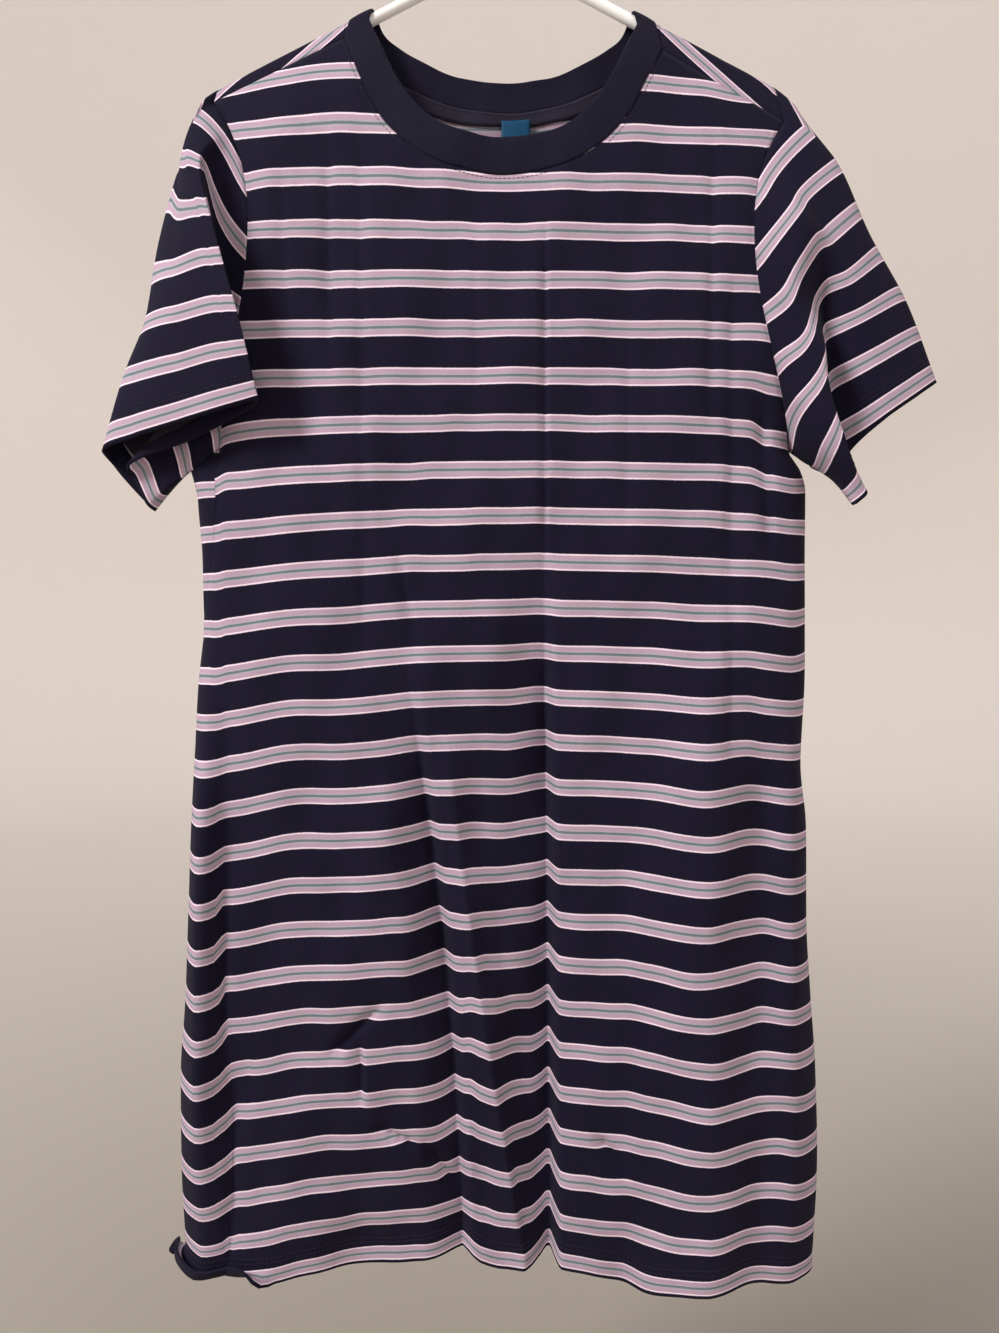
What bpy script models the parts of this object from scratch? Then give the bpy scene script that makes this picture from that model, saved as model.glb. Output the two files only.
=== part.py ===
"""A striped t-shirt dress on a tubular hanger.

The frame has its origin at the top of the inside of the hanger's hook, +Z up, and the dress faces -Y.
Left and right are the viewer's, so left is -X. Every piece of cloth is a wall worked out from its middle
surface: the body is a sheath that hangs over the hanger's arms, and each sleeve is a loft from the armhole
ring to its folded hem ring.
"""

import math

import bmesh
import bpy
import numpy as np

# Hanger, in metres
HANGER_TUBE_RADIUS = 0.004
ARM_SLOPE = 0.505
ARM_REACH = 0.197
ARM_TILT = 0.009
APEX_DROP = 0.0888
APEX_ROUND = 0.012
BAR_HEIGHT = -0.226
CORNER_RADII = (0.030, 0.012, 0.014, 0.014, 0.012)
HOOK_INNER_RADIUS = 0.020
HOOK_OPEN_ANGLE = -20.0
HOOK_TURN_ANGLE = 235.0
TUBE_SIDES = 10
CORNER_STEPS = 6

# Cloth
CLOTH_THICK = 0.0012
BAND_THICK = 0.0018
TAPE_THICK = 0.001
SEAM_GAP = 0.0005
SLEEVE_GAP = 0.0004
UNDERARM_GAP = 0.0028
UNDERARM_SPAN = 0.11
RIDGE_RADIUS = 0.0054

# Body: heights are Z, widths are the reach to each side
HEM_HEIGHT = -1.049
UNDERARM_HEIGHT = -0.437
FRONT_FULLNESS = 0.019
BACK_FULLNESS = 0.008
FULLNESS_FALL = 0.06
SKIRT_FULLNESS = 0.007
EDGE_POWER = 12
FOLD_GROWTH = 2.8
SIDE_BEND_START = 0.9

SIDE_COLUMNS = ("height", "left", "right", "seam_left", "seam_right")
SIDE_TABLE = (
    (-0.200, 0.262, 0.262, 0.100, -0.040),
    (-0.340, 0.240, 0.238, 0.100, -0.040),
    (-0.437, 0.208, 0.208, 0.052, 0.000),
    (-0.454, 0.2180, 0.218, 0.096, -0.020),
    (-0.467, 0.2235, 0.2215, 0.121, -0.030),
    (-0.511, 0.221, 0.222, 0.088, -0.040),
    (-0.548, 0.221, 0.223, 0.035, -0.040),
    (-0.596, 0.226, 0.224, -0.030, -0.040),
    (-0.660, 0.230, 0.222, -0.030, -0.040),
    (-0.707, 0.233, 0.227, -0.030, -0.040),
    (-0.784, 0.237, 0.229, -0.030, -0.040),
    (-0.834, 0.240, 0.233, -0.030, -0.040),
    (-0.893, 0.245, 0.238, -0.030, -0.040),
    (-0.966, 0.246, 0.241, -0.030, -0.040),
    (-1.060, 0.243, 0.238, -0.030, -0.040),
)

# How far each stretch of the hem and of the courses above it hangs below the level one
SAG_COLUMNS = ("across", "waist", "hem")
SAG_TABLE = (
    (-0.260, 0.018, 0.012),
    (-0.215, 0.016, 0.011),
    (-0.175, 0.010, 0.006),
    (-0.140, 0.006, 0.001),
    (-0.094, 0.004, -0.006),
    (-0.050, 0.001, -0.009),
    (0.000, 0.000, -0.002),
    (0.035, -0.002, -0.012),
    (0.070, 0.000, -0.002),
    (0.107, 0.001, 0.007),
    (0.140, 0.003, 0.010),
    (0.180, 0.004, 0.006),
    (0.215, 0.007, 0.007),
    (0.260, 0.008, 0.006),
)
SAG_WAIST_HEIGHT = -0.62
SAG_CHEST_HEIGHT = -0.40

# Folds that run down a panel. Depth goes inward, so a ridge has a negative depth.
# Each row: top, x at the top, x in the middle, x at the hem, depth in the middle, depth at the hem, and how
# far the fold spreads to its left and to its right.
FRONT_FOLDS = (
    (-0.560, 0.000, -0.005, -0.005, 0.012, 0.015, 0.095, 0.070),
    (-0.540, 0.029, 0.034, 0.036, 0.014, 0.013, 0.026, 0.024),
    (-0.545, -0.078, -0.053, -0.031, 0.008, 0.008, 0.034, 0.024),
    (-0.610, -0.051, -0.024, 0.020, -0.011, -0.010, 0.020, 0.022),
    (-0.520, 0.141, 0.148, 0.151, -0.018, -0.016, 0.064, 0.044),
    (-0.560, -0.213, -0.222, -0.224, -0.024, -0.010, 0.030, 0.024),
    (-0.560, 0.207, 0.213, 0.215, -0.006, -0.005, 0.022, 0.020),
    (-0.950, -0.095, -0.095, -0.095, 0.006, 0.014, 0.080, 0.070),
)
BACK_FOLDS = (
    (-0.420, -0.120, -0.135, -0.150, -0.012, -0.016, 0.060, 0.050),
    (-0.560, -0.060, -0.045, -0.030, 0.004, 0.004, 0.040, 0.040),
    (-0.500, 0.020, 0.045, 0.070, -0.010, -0.015, 0.050, 0.060),
    (-0.620, 0.160, 0.165, 0.170, -0.012, -0.014, 0.040, 0.036),
)

# Neckline and neckband, from each shoulder seam (share 0) to the middle (share 0.5)
NECK_COLUMNS = ("share", "seam_reach", "front_seam", "back_seam", "edge_reach", "front_edge", "back_edge")
NECK_TABLE = (
    (0.00, 0.1120, -0.1540, -0.1540, 0.0945, -0.1390, -0.1390),
    (0.10, 0.1005, -0.1830, -0.1570, 0.0865, -0.1580, -0.1415),
    (0.20, 0.0860, -0.2105, -0.1690, 0.0740, -0.1840, -0.1520),
    (0.30, 0.0620, -0.2335, -0.1815, 0.0545, -0.2085, -0.1620),
    (0.40, 0.0330, -0.2465, -0.1905, 0.0290, -0.2215, -0.1700),
    (0.50, 0.0000, -0.2508, -0.1940, 0.0000, -0.2250, -0.1725),
)
EDGE_DROP_LEFT = 0.008
EDGE_DROP_RIGHT = 0.010

# Shoulder seams lie forward of the ridge by these amounts, at the neck and at the shoulder point
# Each: drop at the neck, drop at the shoulder point, x of the shoulder point.
SHOULDER_LEFT = (0.013, 0.010, -0.2055)
SHOULDER_RIGHT = (0.020, 0.025, 0.1990)

# Armholes, each from its shoulder point to the underarm
# Each: x at the underarm, scoop of the front, scoop of the back.
ARMHOLE_LEFT = (-0.205, 0.026, 0.016)
ARMHOLE_RIGHT = (0.203, 0.025, 0.016)
SCOOP_SHARE = 0.78
SCOOP_POWER = 1.2

# The bottom left corner of the hem is turned outward. The places round the tube are where the turn starts,
# where it is full, where it stops being full and where it ends.
TURNED_RISE = 0.013
TURNED_RADIUS = 0.0022
TURNED_ANGLE = 158.0
TURNED_PLACES = (-0.66, -0.76, -1.02, -1.10)

# Sleeve hem rings: a row for each fold, with its place round the ring from the shoulder line over the
# front, where it lies at the hem, and how far the cloth swings out of line on its way there
# Each row: name, place, x, y, z, and the swing in x, y and z.
SLEEVE_LEFT = (
    ("top", 0.000, -0.1860, -0.0465, -0.4150, -0.025, -0.006, 0.000),
    ("ridge", 0.0625, -0.1700, -0.0470, -0.4095, -0.019, -0.008, 0.004),
    ("ridge_rear", 0.094, -0.1715, -0.0385, -0.4120, -0.018, 0.001, 0.004),
    ("front", 0.240, -0.2180, -0.0250, -0.4330, -0.008, 0.006, 0.000),
    ("valley", 0.395, -0.2700, -0.0175, -0.4545, 0.000, 0.004, 0.000),
    ("valley_rear", 0.425, -0.2680, -0.0110, -0.4590, 0.000, 0.004, 0.000),
    ("underarm", 0.500, -0.2590, -0.0085, -0.4790, 0.000, 0.000, 0.000),
    ("underarm_rear", 0.530, -0.2560, -0.0020, -0.4825, 0.000, 0.002, 0.000),
    ("outer_rear", 0.665, -0.2830, -0.0060, -0.4510, -0.028, 0.004, 0.022),
    ("outer", 0.705, -0.2870, -0.0180, -0.4420, -0.037, 0.000, 0.033),
    ("flap", 0.850, -0.2350, -0.0360, -0.4270, -0.037, -0.004, 0.020),
)
SLEEVE_RIGHT = (
    ("top", 0.000, 0.3100, -0.0150, -0.3925, 0.014, -0.002, -0.004),
    ("outer", 0.121, 0.2750, -0.0240, -0.4165, 0.008, 0.000, 0.000),
    ("lip", 0.233, 0.2420, -0.0190, -0.4395, 0.016, -0.004, 0.000),
    ("valley", 0.318, 0.2210, -0.0100, -0.4500, 0.016, -0.002, 0.004),
    ("fold", 0.400, 0.2400, -0.0290, -0.4620, 0.016, -0.012, 0.004),
    ("ridge", 0.460, 0.2535, -0.0410, -0.4735, 0.006, -0.006, 0.006),
    ("underarm", 0.500, 0.2460, -0.0360, -0.4810, 0.000, 0.000, 0.009),
    ("rear", 0.620, 0.2560, 0.0020, -0.4660, 0.004, 0.004, 0.004),
    ("back", 0.780, 0.2880, 0.0200, -0.4380, 0.010, 0.006, 0.000),
    ("outer_rear", 0.930, 0.3080, 0.0040, -0.4040, 0.014, 0.002, -0.004),
)
SLEEVE_SKEW_LEFT = 2.0
SLEEVE_SKEW_RIGHT = 1.0
# A ridge that runs beside the right armhole, down the front of the sleeve: its share of the way down and
# that share's span, how far forward it stands, and its place round the sleeve and that place's span.
FRONT_RIDGE_RIGHT = (0.20, 0.10, 0.010, 0.24, 0.16)
SHOULDER_CAP_OUT = 0.006
SHOULDER_CAP_LIFT = 0.005
SHOULDER_CAP_SPAN = 0.09
SHOULDER_CAP_FALL = 4.0
SLEEVE_ROWS = (0.0, 0.05, 0.13, 0.24, 0.37, 0.51, 0.65, 0.78, 0.90, 1.0)

# Neck tape and label, inside the back neck
TAPE_START = 0.14
TAPE_HEIGHT = 0.009
TAPE_STEPS = 16
LABEL_WIDTH = 0.022
LABEL_HEIGHT = 0.032
LABEL_X = 0.009
LABEL_STEPS = 2

# Mesh counts
SHOULDER_STEPS = 6
FRONT_NECK_STEPS = 22
BACK_NECK_STEPS = 10
ARMHOLE_STEPS = 16
BACK_ARMHOLE_STEPS = 12
NECK_RIDGE_STEPS = 7
SHOULDER_RIDGE_STEPS = 8
BAND_ROWS = 4
SHOULDER_SPREAD = 1.35
SIDE_SHARES = (
    0.0, 0.014, 0.028, 0.043, 0.065, 0.13, 0.22, 0.31, 0.40,
    0.50, 0.60, 0.70, 0.80, 0.88, 0.94, 0.975, 1.0,
)
SEARCH_STEPS = 500
HOOK_STEPS = 24
STEM_STEPS = 6
SHARP_ANGLE = 50.0
# Short ways over which the surface's own directions are measured
SURFACE_STEP = 0.0005
ROUND_STEP = 0.01
NECK_STEP = 0.002

NAVY = (0.020, 0.019, 0.042, 1.0)
LABEL_BLUE = (0.004, 0.075, 0.180, 1.0)
WHITE = (0.86, 0.86, 0.87, 1.0)


def clear_scene():
    for held in list(bpy.data.objects):
        bpy.data.objects.remove(held, do_unlink=True)
    for mesh in list(bpy.data.meshes):
        bpy.data.meshes.remove(mesh)


def plain_material(name, colour, roughness):
    material = bpy.data.materials.new(name)
    material.use_nodes = True
    shader = material.node_tree.nodes["Principled BSDF"]
    shader.inputs["Base Color"].default_value = colour
    shader.inputs["Roughness"].default_value = roughness
    shader.inputs["Metallic"].default_value = 0.0
    return material


def smooth(share):
    share = np.clip(share, 0.0, 1.0)
    return share * share * (3 - 2 * share)


def curve_at(places, values, where):
    """A smooth curve through the table's values, which never overshoots them."""
    places = np.asarray(places, float)
    values = np.asarray(values, float)
    if places[0] > places[-1]:
        places, values = places[::-1], values[::-1]
    where = np.clip(where, places[0], places[-1])
    steps = np.diff(places)
    rises = np.diff(values) / steps
    slopes = np.zeros(len(values))
    turning = rises[:-1] * rises[1:] > 0
    inner = 2 * rises[:-1] * rises[1:] / np.where(turning, rises[:-1] + rises[1:], 1.0)
    slopes[1:-1] = np.where(turning, inner, 0.0)
    slopes[0], slopes[-1] = rises[0], rises[-1]
    low = np.clip(np.searchsorted(places, where, side="right") - 1, 0, len(steps) - 1)
    share = (where - places[low]) / steps[low]
    step = steps[low]
    return (
        values[low] * (1 + 2 * share) * (1 - share) ** 2
        + slopes[low] * step * share * (1 - share) ** 2
        + values[low + 1] * share**2 * (3 - 2 * share)
        + slopes[low + 1] * step * share**2 * (share - 1)
    )


def column(table, names, name, where):
    number = names.index(name)
    return curve_at([row[0] for row in table], [row[number] for row in table], where)


def ridge_height(x):
    """Top of the cloth where it lies over the hanger's arms."""
    reach = np.sqrt(np.asarray(x) ** 2 + APEX_ROUND**2)
    top = -APEX_DROP + RIDGE_RADIUS * math.hypot(1, ARM_SLOPE)
    return top - ARM_SLOPE * reach - ARM_TILT * np.asarray(x)


def side_reach(height, x):
    left = column(SIDE_TABLE, SIDE_COLUMNS, "left", height)
    right = column(SIDE_TABLE, SIDE_COLUMNS, "right", height)
    return np.where(np.asarray(x) < 0, left, right)


def edge_share(x, height):
    """How much of its fullness the section keeps at x, falling to none at the side edges."""
    across = np.clip(np.abs(x) / side_reach(height, x), 0.0, 1.0)
    return np.sqrt(1 - across**EDGE_POWER)


def fold_depth(folds, x, height):
    depth = np.zeros(np.broadcast(x, height).shape)
    for top, x_top, x_middle, x_hem, middle, hem, left, right in folds:
        share = (top - height) / (top - HEM_HEIGHT)
        low = np.clip(share, 0.0, 1.2)
        middle_pull = 4 * x_middle - x_top * 2 - x_hem * 2
        centre = x_top + (x_hem - x_top) * low + middle_pull * low * (1 - low)
        amount = middle + (hem - middle) * smooth(2 * low - 1)
        away = x - centre
        near = 1 - np.abs(away) / np.where(away < 0, left, right)
        depth = depth + amount * smooth(share * FOLD_GROWTH) * smooth(near)
    return depth


def half_depth(x, height, side):
    """Distance of the cloth from the hanger's plane: side is -1 for the front and 1 for the back."""
    below = np.maximum(ridge_height(x) - height, 0.0)
    short = RIDGE_RADIUS - np.minimum(below, RIDGE_RADIUS)
    round_top = np.sqrt(np.maximum(RIDGE_RADIUS**2 - short**2, 0.0))
    fullness = np.where(side < 0, FRONT_FULLNESS, BACK_FULLNESS)
    fall = 1 - np.exp(-np.maximum(below - RIDGE_RADIUS, 0.0) / FULLNESS_FALL)
    skirt = SKIRT_FULLNESS * smooth((UNDERARM_HEIGHT - height) / (UNDERARM_HEIGHT - HEM_HEIGHT))
    folds = np.where(side < 0, fold_depth(FRONT_FOLDS, x, height), fold_depth(BACK_FOLDS, x, height))
    return np.where(below < RIDGE_RADIUS, round_top, RIDGE_RADIUS + fullness * fall + skirt - folds)


def on_sheath(x, along):
    """The point at x, and this far along the cloth from the ridge: negative runs down the front."""
    quarter = RIDGE_RADIUS * math.pi / 2
    bend = np.minimum(np.abs(along), quarter)
    below = RIDGE_RADIUS * (1 - np.cos(bend / RIDGE_RADIUS)) + np.maximum(np.abs(along) - quarter, 0.0)
    height = ridge_height(x) - below
    side = np.where(along < 0, -1.0, 1.0)
    depth = side * half_depth(x, height, side) * edge_share(x, height)
    return np.stack([np.broadcast_to(x, depth.shape), depth, height], axis=-1)


def along_at(x, height, side):
    """Way along the cloth from the ridge to this height, negative on the front."""
    below = np.maximum(ridge_height(x) - height, 0.0)
    return side * (RIDGE_RADIUS * math.pi / 2 + below - RIDGE_RADIUS)


def bend_share(around):
    """Share of the side reach at this place round the tube, from -1 at the left edge to 1 at the right."""
    size = np.abs(around)
    straight = 2 / (1 + SIDE_BEND_START)
    rounded = 1 - (1 - size) ** 2 / (1 - SIDE_BEND_START**2)
    return np.sign(around) * np.where(size < SIDE_BEND_START, straight * size, rounded)


def sag(x, height):
    waist = column(SAG_TABLE, SAG_COLUMNS, "waist", x)
    hem = column(SAG_TABLE, SAG_COLUMNS, "hem", x)
    low = smooth((SAG_WAIST_HEIGHT - height) / (SAG_WAIST_HEIGHT - HEM_HEIGHT))
    high = smooth((SAG_CHEST_HEIGHT - height) / (SAG_CHEST_HEIGHT - SAG_WAIST_HEIGHT))
    return waist * high * (1 - low) + hem * low


def on_plain_tube(around, level):
    """The point round the body tube below the arms: 1 to -1 is the front, and past each edge the back."""
    front = np.abs(around) <= 1
    folded = np.where(front, around, np.where(around < 0, -2.0, 2.0) - around)
    side = np.where(front, -1.0, 1.0)
    x = bend_share(folded) * side_reach(level, folded)
    height = level - sag(x, level)
    return np.stack([x, side * half_depth(x, height, side) * edge_share(x, level), height], axis=-1)


def on_tube(around, level):
    """The same point, with the bottom left corner turned outward and up."""
    start, full, full_end, end = TURNED_PLACES
    turned = smooth((start - around) / (start - full)) * smooth((around - end) / (full_end - end))
    turn = math.radians(TURNED_ANGLE) * turned
    past = np.maximum(HEM_HEIGHT + TURNED_RISE - level, 0.0)
    bent = np.minimum(past / TURNED_RADIUS, turn)
    straight = past - bent * TURNED_RADIUS
    outward = TURNED_RADIUS * (1 - np.cos(bent)) + straight * np.sin(bent)
    down = TURNED_RADIUS * np.sin(bent) + straight * np.cos(bent)
    point = on_plain_tube(around, np.maximum(level, HEM_HEIGHT + TURNED_RISE))
    fold_level = np.full_like(around, HEM_HEIGHT + TURNED_RISE)
    ahead = on_plain_tube(around + ROUND_STEP, fold_level)
    behind = on_plain_tube(around - ROUND_STEP, fold_level)
    across = ahead - behind
    size = np.hypot(across[..., 0], across[..., 1])
    point[..., 0] += outward * across[..., 1] / size
    point[..., 1] -= outward * across[..., 0] / size
    point[..., 2] -= down
    return point


def shoulder_line(shoulder, share):
    """x and way along the cloth on the shoulder seam, from the shoulder point to the neck."""
    neck_drop, point_drop, point_x = shoulder
    neck_x = math.copysign(NECK_TABLE[0][1], point_x)
    x = point_x + (neck_x - point_x) * share
    drop = point_drop + (neck_drop - point_drop) * share
    return x, along_at(x, ridge_height(x) - drop, -1)


def neck_line(line, share, side):
    """x and way along the cloth on a line round the neck, from the left shoulder to the right.

    The line is "seam" or "edge". Side is -1 for its front and 1 for its back.
    """
    share = np.asarray(share, float)
    half = 0.5 - np.abs(share - 0.5)
    places = [row[0] for row in NECK_TABLE]
    reach = np.array([row[NECK_COLUMNS.index(line + "_reach")] for row in NECK_TABLE])
    name = ("front_" if side < 0 else "back_") + line
    heights = np.array([row[NECK_COLUMNS.index(name)] for row in NECK_TABLE])
    drops = (SHOULDER_LEFT[0], SHOULDER_RIGHT[0]) if line == "seam" else (EDGE_DROP_LEFT, EDGE_DROP_RIGHT)
    ways = []
    for drop in drops:
        way = along_at(reach, heights, side)
        way[0] = along_at(reach[0], ridge_height(reach[0]) - drop, -1)
        ways.append(curve_at(places, way, half))
    x = np.where(share < 0.5, -1, 1) * curve_at(places, reach, half)
    return x, np.where(share < 0.5, ways[0], ways[1])


def ridge_ways(start, steps):
    """Ways along the cloth at which it is sampled from its front seam, over the ridge, to the back."""
    return np.linspace(start, RIDGE_RADIUS * math.pi / 2, steps + 1)


def back_neck_shares():
    """Places along the back neckline, with extra ones where it crosses the ridge at each end."""
    fine = np.linspace(0, 0.5, SEARCH_STEPS + 1)
    middle = np.linspace(0, 1, BACK_NECK_STEPS // 2 + 1)[1:]
    halves = []
    for mirror in (False, True):
        way = neck_line("seam", 1 - fine if mirror else fine, 1)[1]
        crossing = np.interp(ridge_ways(way[0], NECK_RIDGE_STEPS), way, fine)
        after = crossing[-1] + (0.5 - crossing[-1]) * middle
        halves.append(np.concatenate([crossing, after]))
    return np.concatenate([halves[0], 1 - halves[1][-2::-1]])


def armhole_line(shoulder, armhole, share, side):
    """x and way along the cloth on the armhole, from the underarm to the shoulder point."""
    underarm_x, front_scoop, back_scoop = armhole
    point_x, point_along = shoulder_line(shoulder, 0.0)
    scoop = front_scoop if side < 0 else back_scoop
    down = 1 - share
    dip = np.sin(np.pi * down**SCOOP_SHARE) ** SCOOP_POWER
    x = point_x + (underarm_x - point_x) * down - math.copysign(1.0, point_x) * scoop * dip
    low = along_at(underarm_x, UNDERARM_HEIGHT - sag(underarm_x, UNDERARM_HEIGHT), side)
    return x, point_along + (low - point_along) * down


def armhole_shares(shoulder, armhole, side):
    """Places along an armhole from the underarm up, with extra ones where the back crosses the ridge."""
    if side < 0:
        return np.linspace(0, 1, ARMHOLE_STEPS + 1)
    top = armhole_line(shoulder, armhole, 1.0, side)[1]
    low = armhole_line(shoulder, armhole, 0.0, side)[1]
    crossing = 1 - (ridge_ways(top, SHOULDER_RIDGE_STEPS)[::-1] - top) / (low - top)
    below = np.linspace(0, crossing[0], BACK_ARMHOLE_STEPS + 1)[:-1]
    return np.concatenate([below, crossing])


def filled(bottom, top, left, right, rows, columns):
    """A grid between four lines of points, rows from the bottom line to the top line."""
    rows = rows[:, None, None]
    columns = columns[None, :, None]
    corners = (
        (1 - rows) * (1 - columns) * bottom[0]
        + (1 - rows) * columns * bottom[-1]
        + rows * (1 - columns) * top[0]
        + rows * columns * top[-1]
    )
    return (
        (1 - rows) * bottom[None]
        + rows * top[None]
        + (1 - columns) * left[:, None]
        + columns * right[:, None]
        - corners
    )


def panel_places(neck_shares):
    """Places across a panel from -1 to 1, closer together towards its two sides."""
    outer = 1 - 0.5 * np.linspace(0, 1, SHOULDER_STEPS + 1) ** SHOULDER_SPREAD
    return np.concatenate([-outer, neck_shares[1:-1] - 0.5, outer[::-1]])


def tube_row(level, places, side):
    """One row of a panel, from its left seam to its right seam."""
    left = -1 + column(SIDE_TABLE, SIDE_COLUMNS, "seam_left", level)
    right = 1 - column(SIDE_TABLE, SIDE_COLUMNS, "seam_right", level)
    if side > 0:
        left, right = -2 - left, 2 - right
    spread = left + (right - left) * (places + 1) / 2
    around = spread if side < 0 else np.where(spread < 0, -2.0, 2.0) - spread
    return on_tube(around, np.full(len(places), level))


def unit(vectors):
    return vectors / np.linalg.norm(vectors, axis=-1, keepdims=True)


def grid_normals(points, closed=False):
    """Unit normals of a grid. A closed grid's columns go round."""
    if closed:
        across = np.roll(points, -1, axis=1) - np.roll(points, 1, axis=1)
    else:
        across = np.gradient(points, axis=1)
    return unit(np.cross(np.gradient(points, axis=0), across))


def sheath_normals(x, along):
    """Unit normals of the sheath, turned away from the hanger."""
    across = on_sheath(x + SURFACE_STEP, along) - on_sheath(x - SURFACE_STEP, along)
    down = on_sheath(x, along + SURFACE_STEP) - on_sheath(x, along - SURFACE_STEP)
    return unit(np.cross(across, down))


def body_panel(side, neck_shares):
    """Middle surface of the front or the back and its normals, as rows from the hem up."""
    places = panel_places(neck_shares)
    spare = places[1] - places[0]
    wide = np.concatenate([[places[0] - spare], places, [places[-1] + spare]])
    levels = HEM_HEIGHT + (UNDERARM_HEIGHT - HEM_HEIGHT) * np.array(SIDE_SHARES)
    lower = np.array([tube_row(level, wide, side) for level in levels])
    last = lower[-1, 1:-1]

    shoulder_share = np.linspace(0, 1, SHOULDER_STEPS + 1)
    left_shoulder = np.stack(shoulder_line(SHOULDER_LEFT, shoulder_share), axis=-1)
    right_shoulder = np.stack(shoulder_line(SHOULDER_RIGHT, shoulder_share[::-1]), axis=-1)
    neck = np.stack(neck_line("seam", neck_shares, side), axis=-1)
    top = np.concatenate([left_shoulder[:-1], neck, right_shoulder[1:]])
    left_share = armhole_shares(SHOULDER_LEFT, ARMHOLE_LEFT, side)
    right_share = armhole_shares(SHOULDER_RIGHT, ARMHOLE_RIGHT, side)
    left_side = np.stack(armhole_line(SHOULDER_LEFT, ARMHOLE_LEFT, left_share, side), axis=-1)
    right_side = np.stack(armhole_line(SHOULDER_RIGHT, ARMHOLE_RIGHT, right_share, side), axis=-1)
    bottom = np.stack([last[:, 0], along_at(last[:, 0], last[:, 2], side)], axis=-1)
    left_side = left_side + (bottom[0] - left_side[0]) * (1 - left_share[:, None]) ** 2
    right_side = right_side + (bottom[-1] - right_side[0]) * (1 - right_share[:, None]) ** 2

    rows = (left_share + right_share) / 2
    upper = filled(bottom, top, left_side, right_side, rows, (places + 1) / 2)
    points = on_sheath(upper[..., 0], upper[..., 1])
    points = points + (1 - rows[:, None, None]) ** 3 * (last - points[0])
    before = 2 * points[:, :1] - points[:, 1:2]
    after = 2 * points[:, -1:] - points[:, -2:-1]
    wide = np.concatenate([lower[:-1], np.concatenate([before, points, after], axis=1)])
    normals = grid_normals(wide)[:, 1:-1]
    own = sheath_normals(upper[..., 0], upper[..., 1])
    own *= np.sign(np.sum(own * normals[len(lower) - 1:]))
    share = smooth(3 * rows)[:, None, None]
    normals[len(lower) - 1:] = unit(normals[len(lower) - 1:] * (1 - share) + own * share)
    return wide[:, 1:-1], normals


def drawn_in(points, normals, first, second, distance, closed=False):
    """Moves one line of a grid this far along the cloth, square to itself, towards the line beside it."""
    line = points[first]
    along = np.roll(line, -1, axis=0) - np.roll(line, 1, axis=0) if closed else np.gradient(line, axis=0)
    away = unit(np.cross(along, normals[first]))
    away *= np.sign(np.sum(away * (points[second] - line)))
    points[first] += distance * away


def trimmed(points, normals, distance):
    """The grid with its four edges drawn in by this distance."""
    points = points.copy()
    every = slice(None)
    for first, second in ((0, 1), (-1, -2), ((every, 0), (every, 1)), ((every, -1), (every, -2))):
        drawn_in(points, normals, first, second, distance)
    return points


def add_object(name, points, faces, material):
    mesh = bpy.data.meshes.new(name)
    mesh.from_pydata([tuple(point) for point in points], [], faces)
    mesh.materials.append(material)
    body = bmesh.new()
    body.from_mesh(mesh)
    bmesh.ops.recalc_face_normals(body, faces=body.faces)
    body.to_mesh(mesh)
    body.free()
    mesh.shade_smooth()
    mesh.set_sharp_from_angle(angle=math.radians(SHARP_ANGLE))
    added = bpy.data.objects.new(name, mesh)
    bpy.context.scene.collection.objects.link(added)
    return added


def add_wall(name, middle, normals, thickness, material, closed=False):
    """A closed wall on both sides of a grid's middle surface."""
    rows, columns = middle.shape[:2]
    count = rows * columns
    shift = normals * thickness / 2
    points = np.concatenate([(middle + shift).reshape(-1, 3), (middle - shift).reshape(-1, 3)])

    def quad(a, b, c, d):
        """Two triangles, parted along the shorter diagonal of the middle surface."""
        flat = middle.reshape(-1, 3)
        corners = [flat[number % count] for number in (a, b, c, d)]
        if np.linalg.norm(corners[0] - corners[2]) <= np.linalg.norm(corners[1] - corners[3]):
            return [(a, b, c), (a, c, d)]
        return [(a, b, d), (b, c, d)]

    faces = []
    spans = columns if closed else columns - 1
    for row in range(rows - 1):
        for number in range(spans):
            after = (number + 1) % columns
            a, b = row * columns + number, row * columns + after
            c, d = b + columns, a + columns
            pair = quad(a, b, c, d)
            faces += pair
            faces += [(count + third, count + second, count + first) for first, second, third in pair]
    for number in range(spans):
        after = (number + 1) % columns
        faces += quad(number + count, after + count, after, number)
        top = (rows - 1) * columns
        faces += quad(top + number, top + after, top + after + count, top + number + count)
    if not closed:
        for row in range(rows - 1):
            low, high = row * columns, (row + 1) * columns
            faces += quad(low, high, high + count, low + count)
            low, high = low + columns - 1, high + columns - 1
            faces += quad(low + count, high + count, high, low)
    return add_object(name, points, faces, material)


def build_panel(name, side, neck_shares, material):
    """Builds the front or the back and returns its middle surface."""
    middle, normals = body_panel(side, neck_shares)
    add_wall(name, trimmed(middle, normals, SEAM_GAP / 2), normals, CLOTH_THICK, material)
    return middle


def ring_curve(table, places):
    """Hem points and swings of a sleeve, from a smooth closed curve through its table's rows."""
    own = np.array([row[1] for row in table])
    values = np.array([row[2:] for row in table])
    own = np.concatenate([own[-3:] - 1, own, own[:3] + 1])
    values = np.concatenate([values[-3:], values, values[:3]])
    return np.stack([curve_at(own, values[:, number], places) for number in range(6)], axis=-1)


def swing_share(share, skew):
    """Share of a swing at this way down a sleeve: none at its ends and all at its fullest place."""
    fullest = 1 / (1 + skew)
    return share * (1 - share) ** skew / (fullest * (1 - fullest) ** skew)


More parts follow.
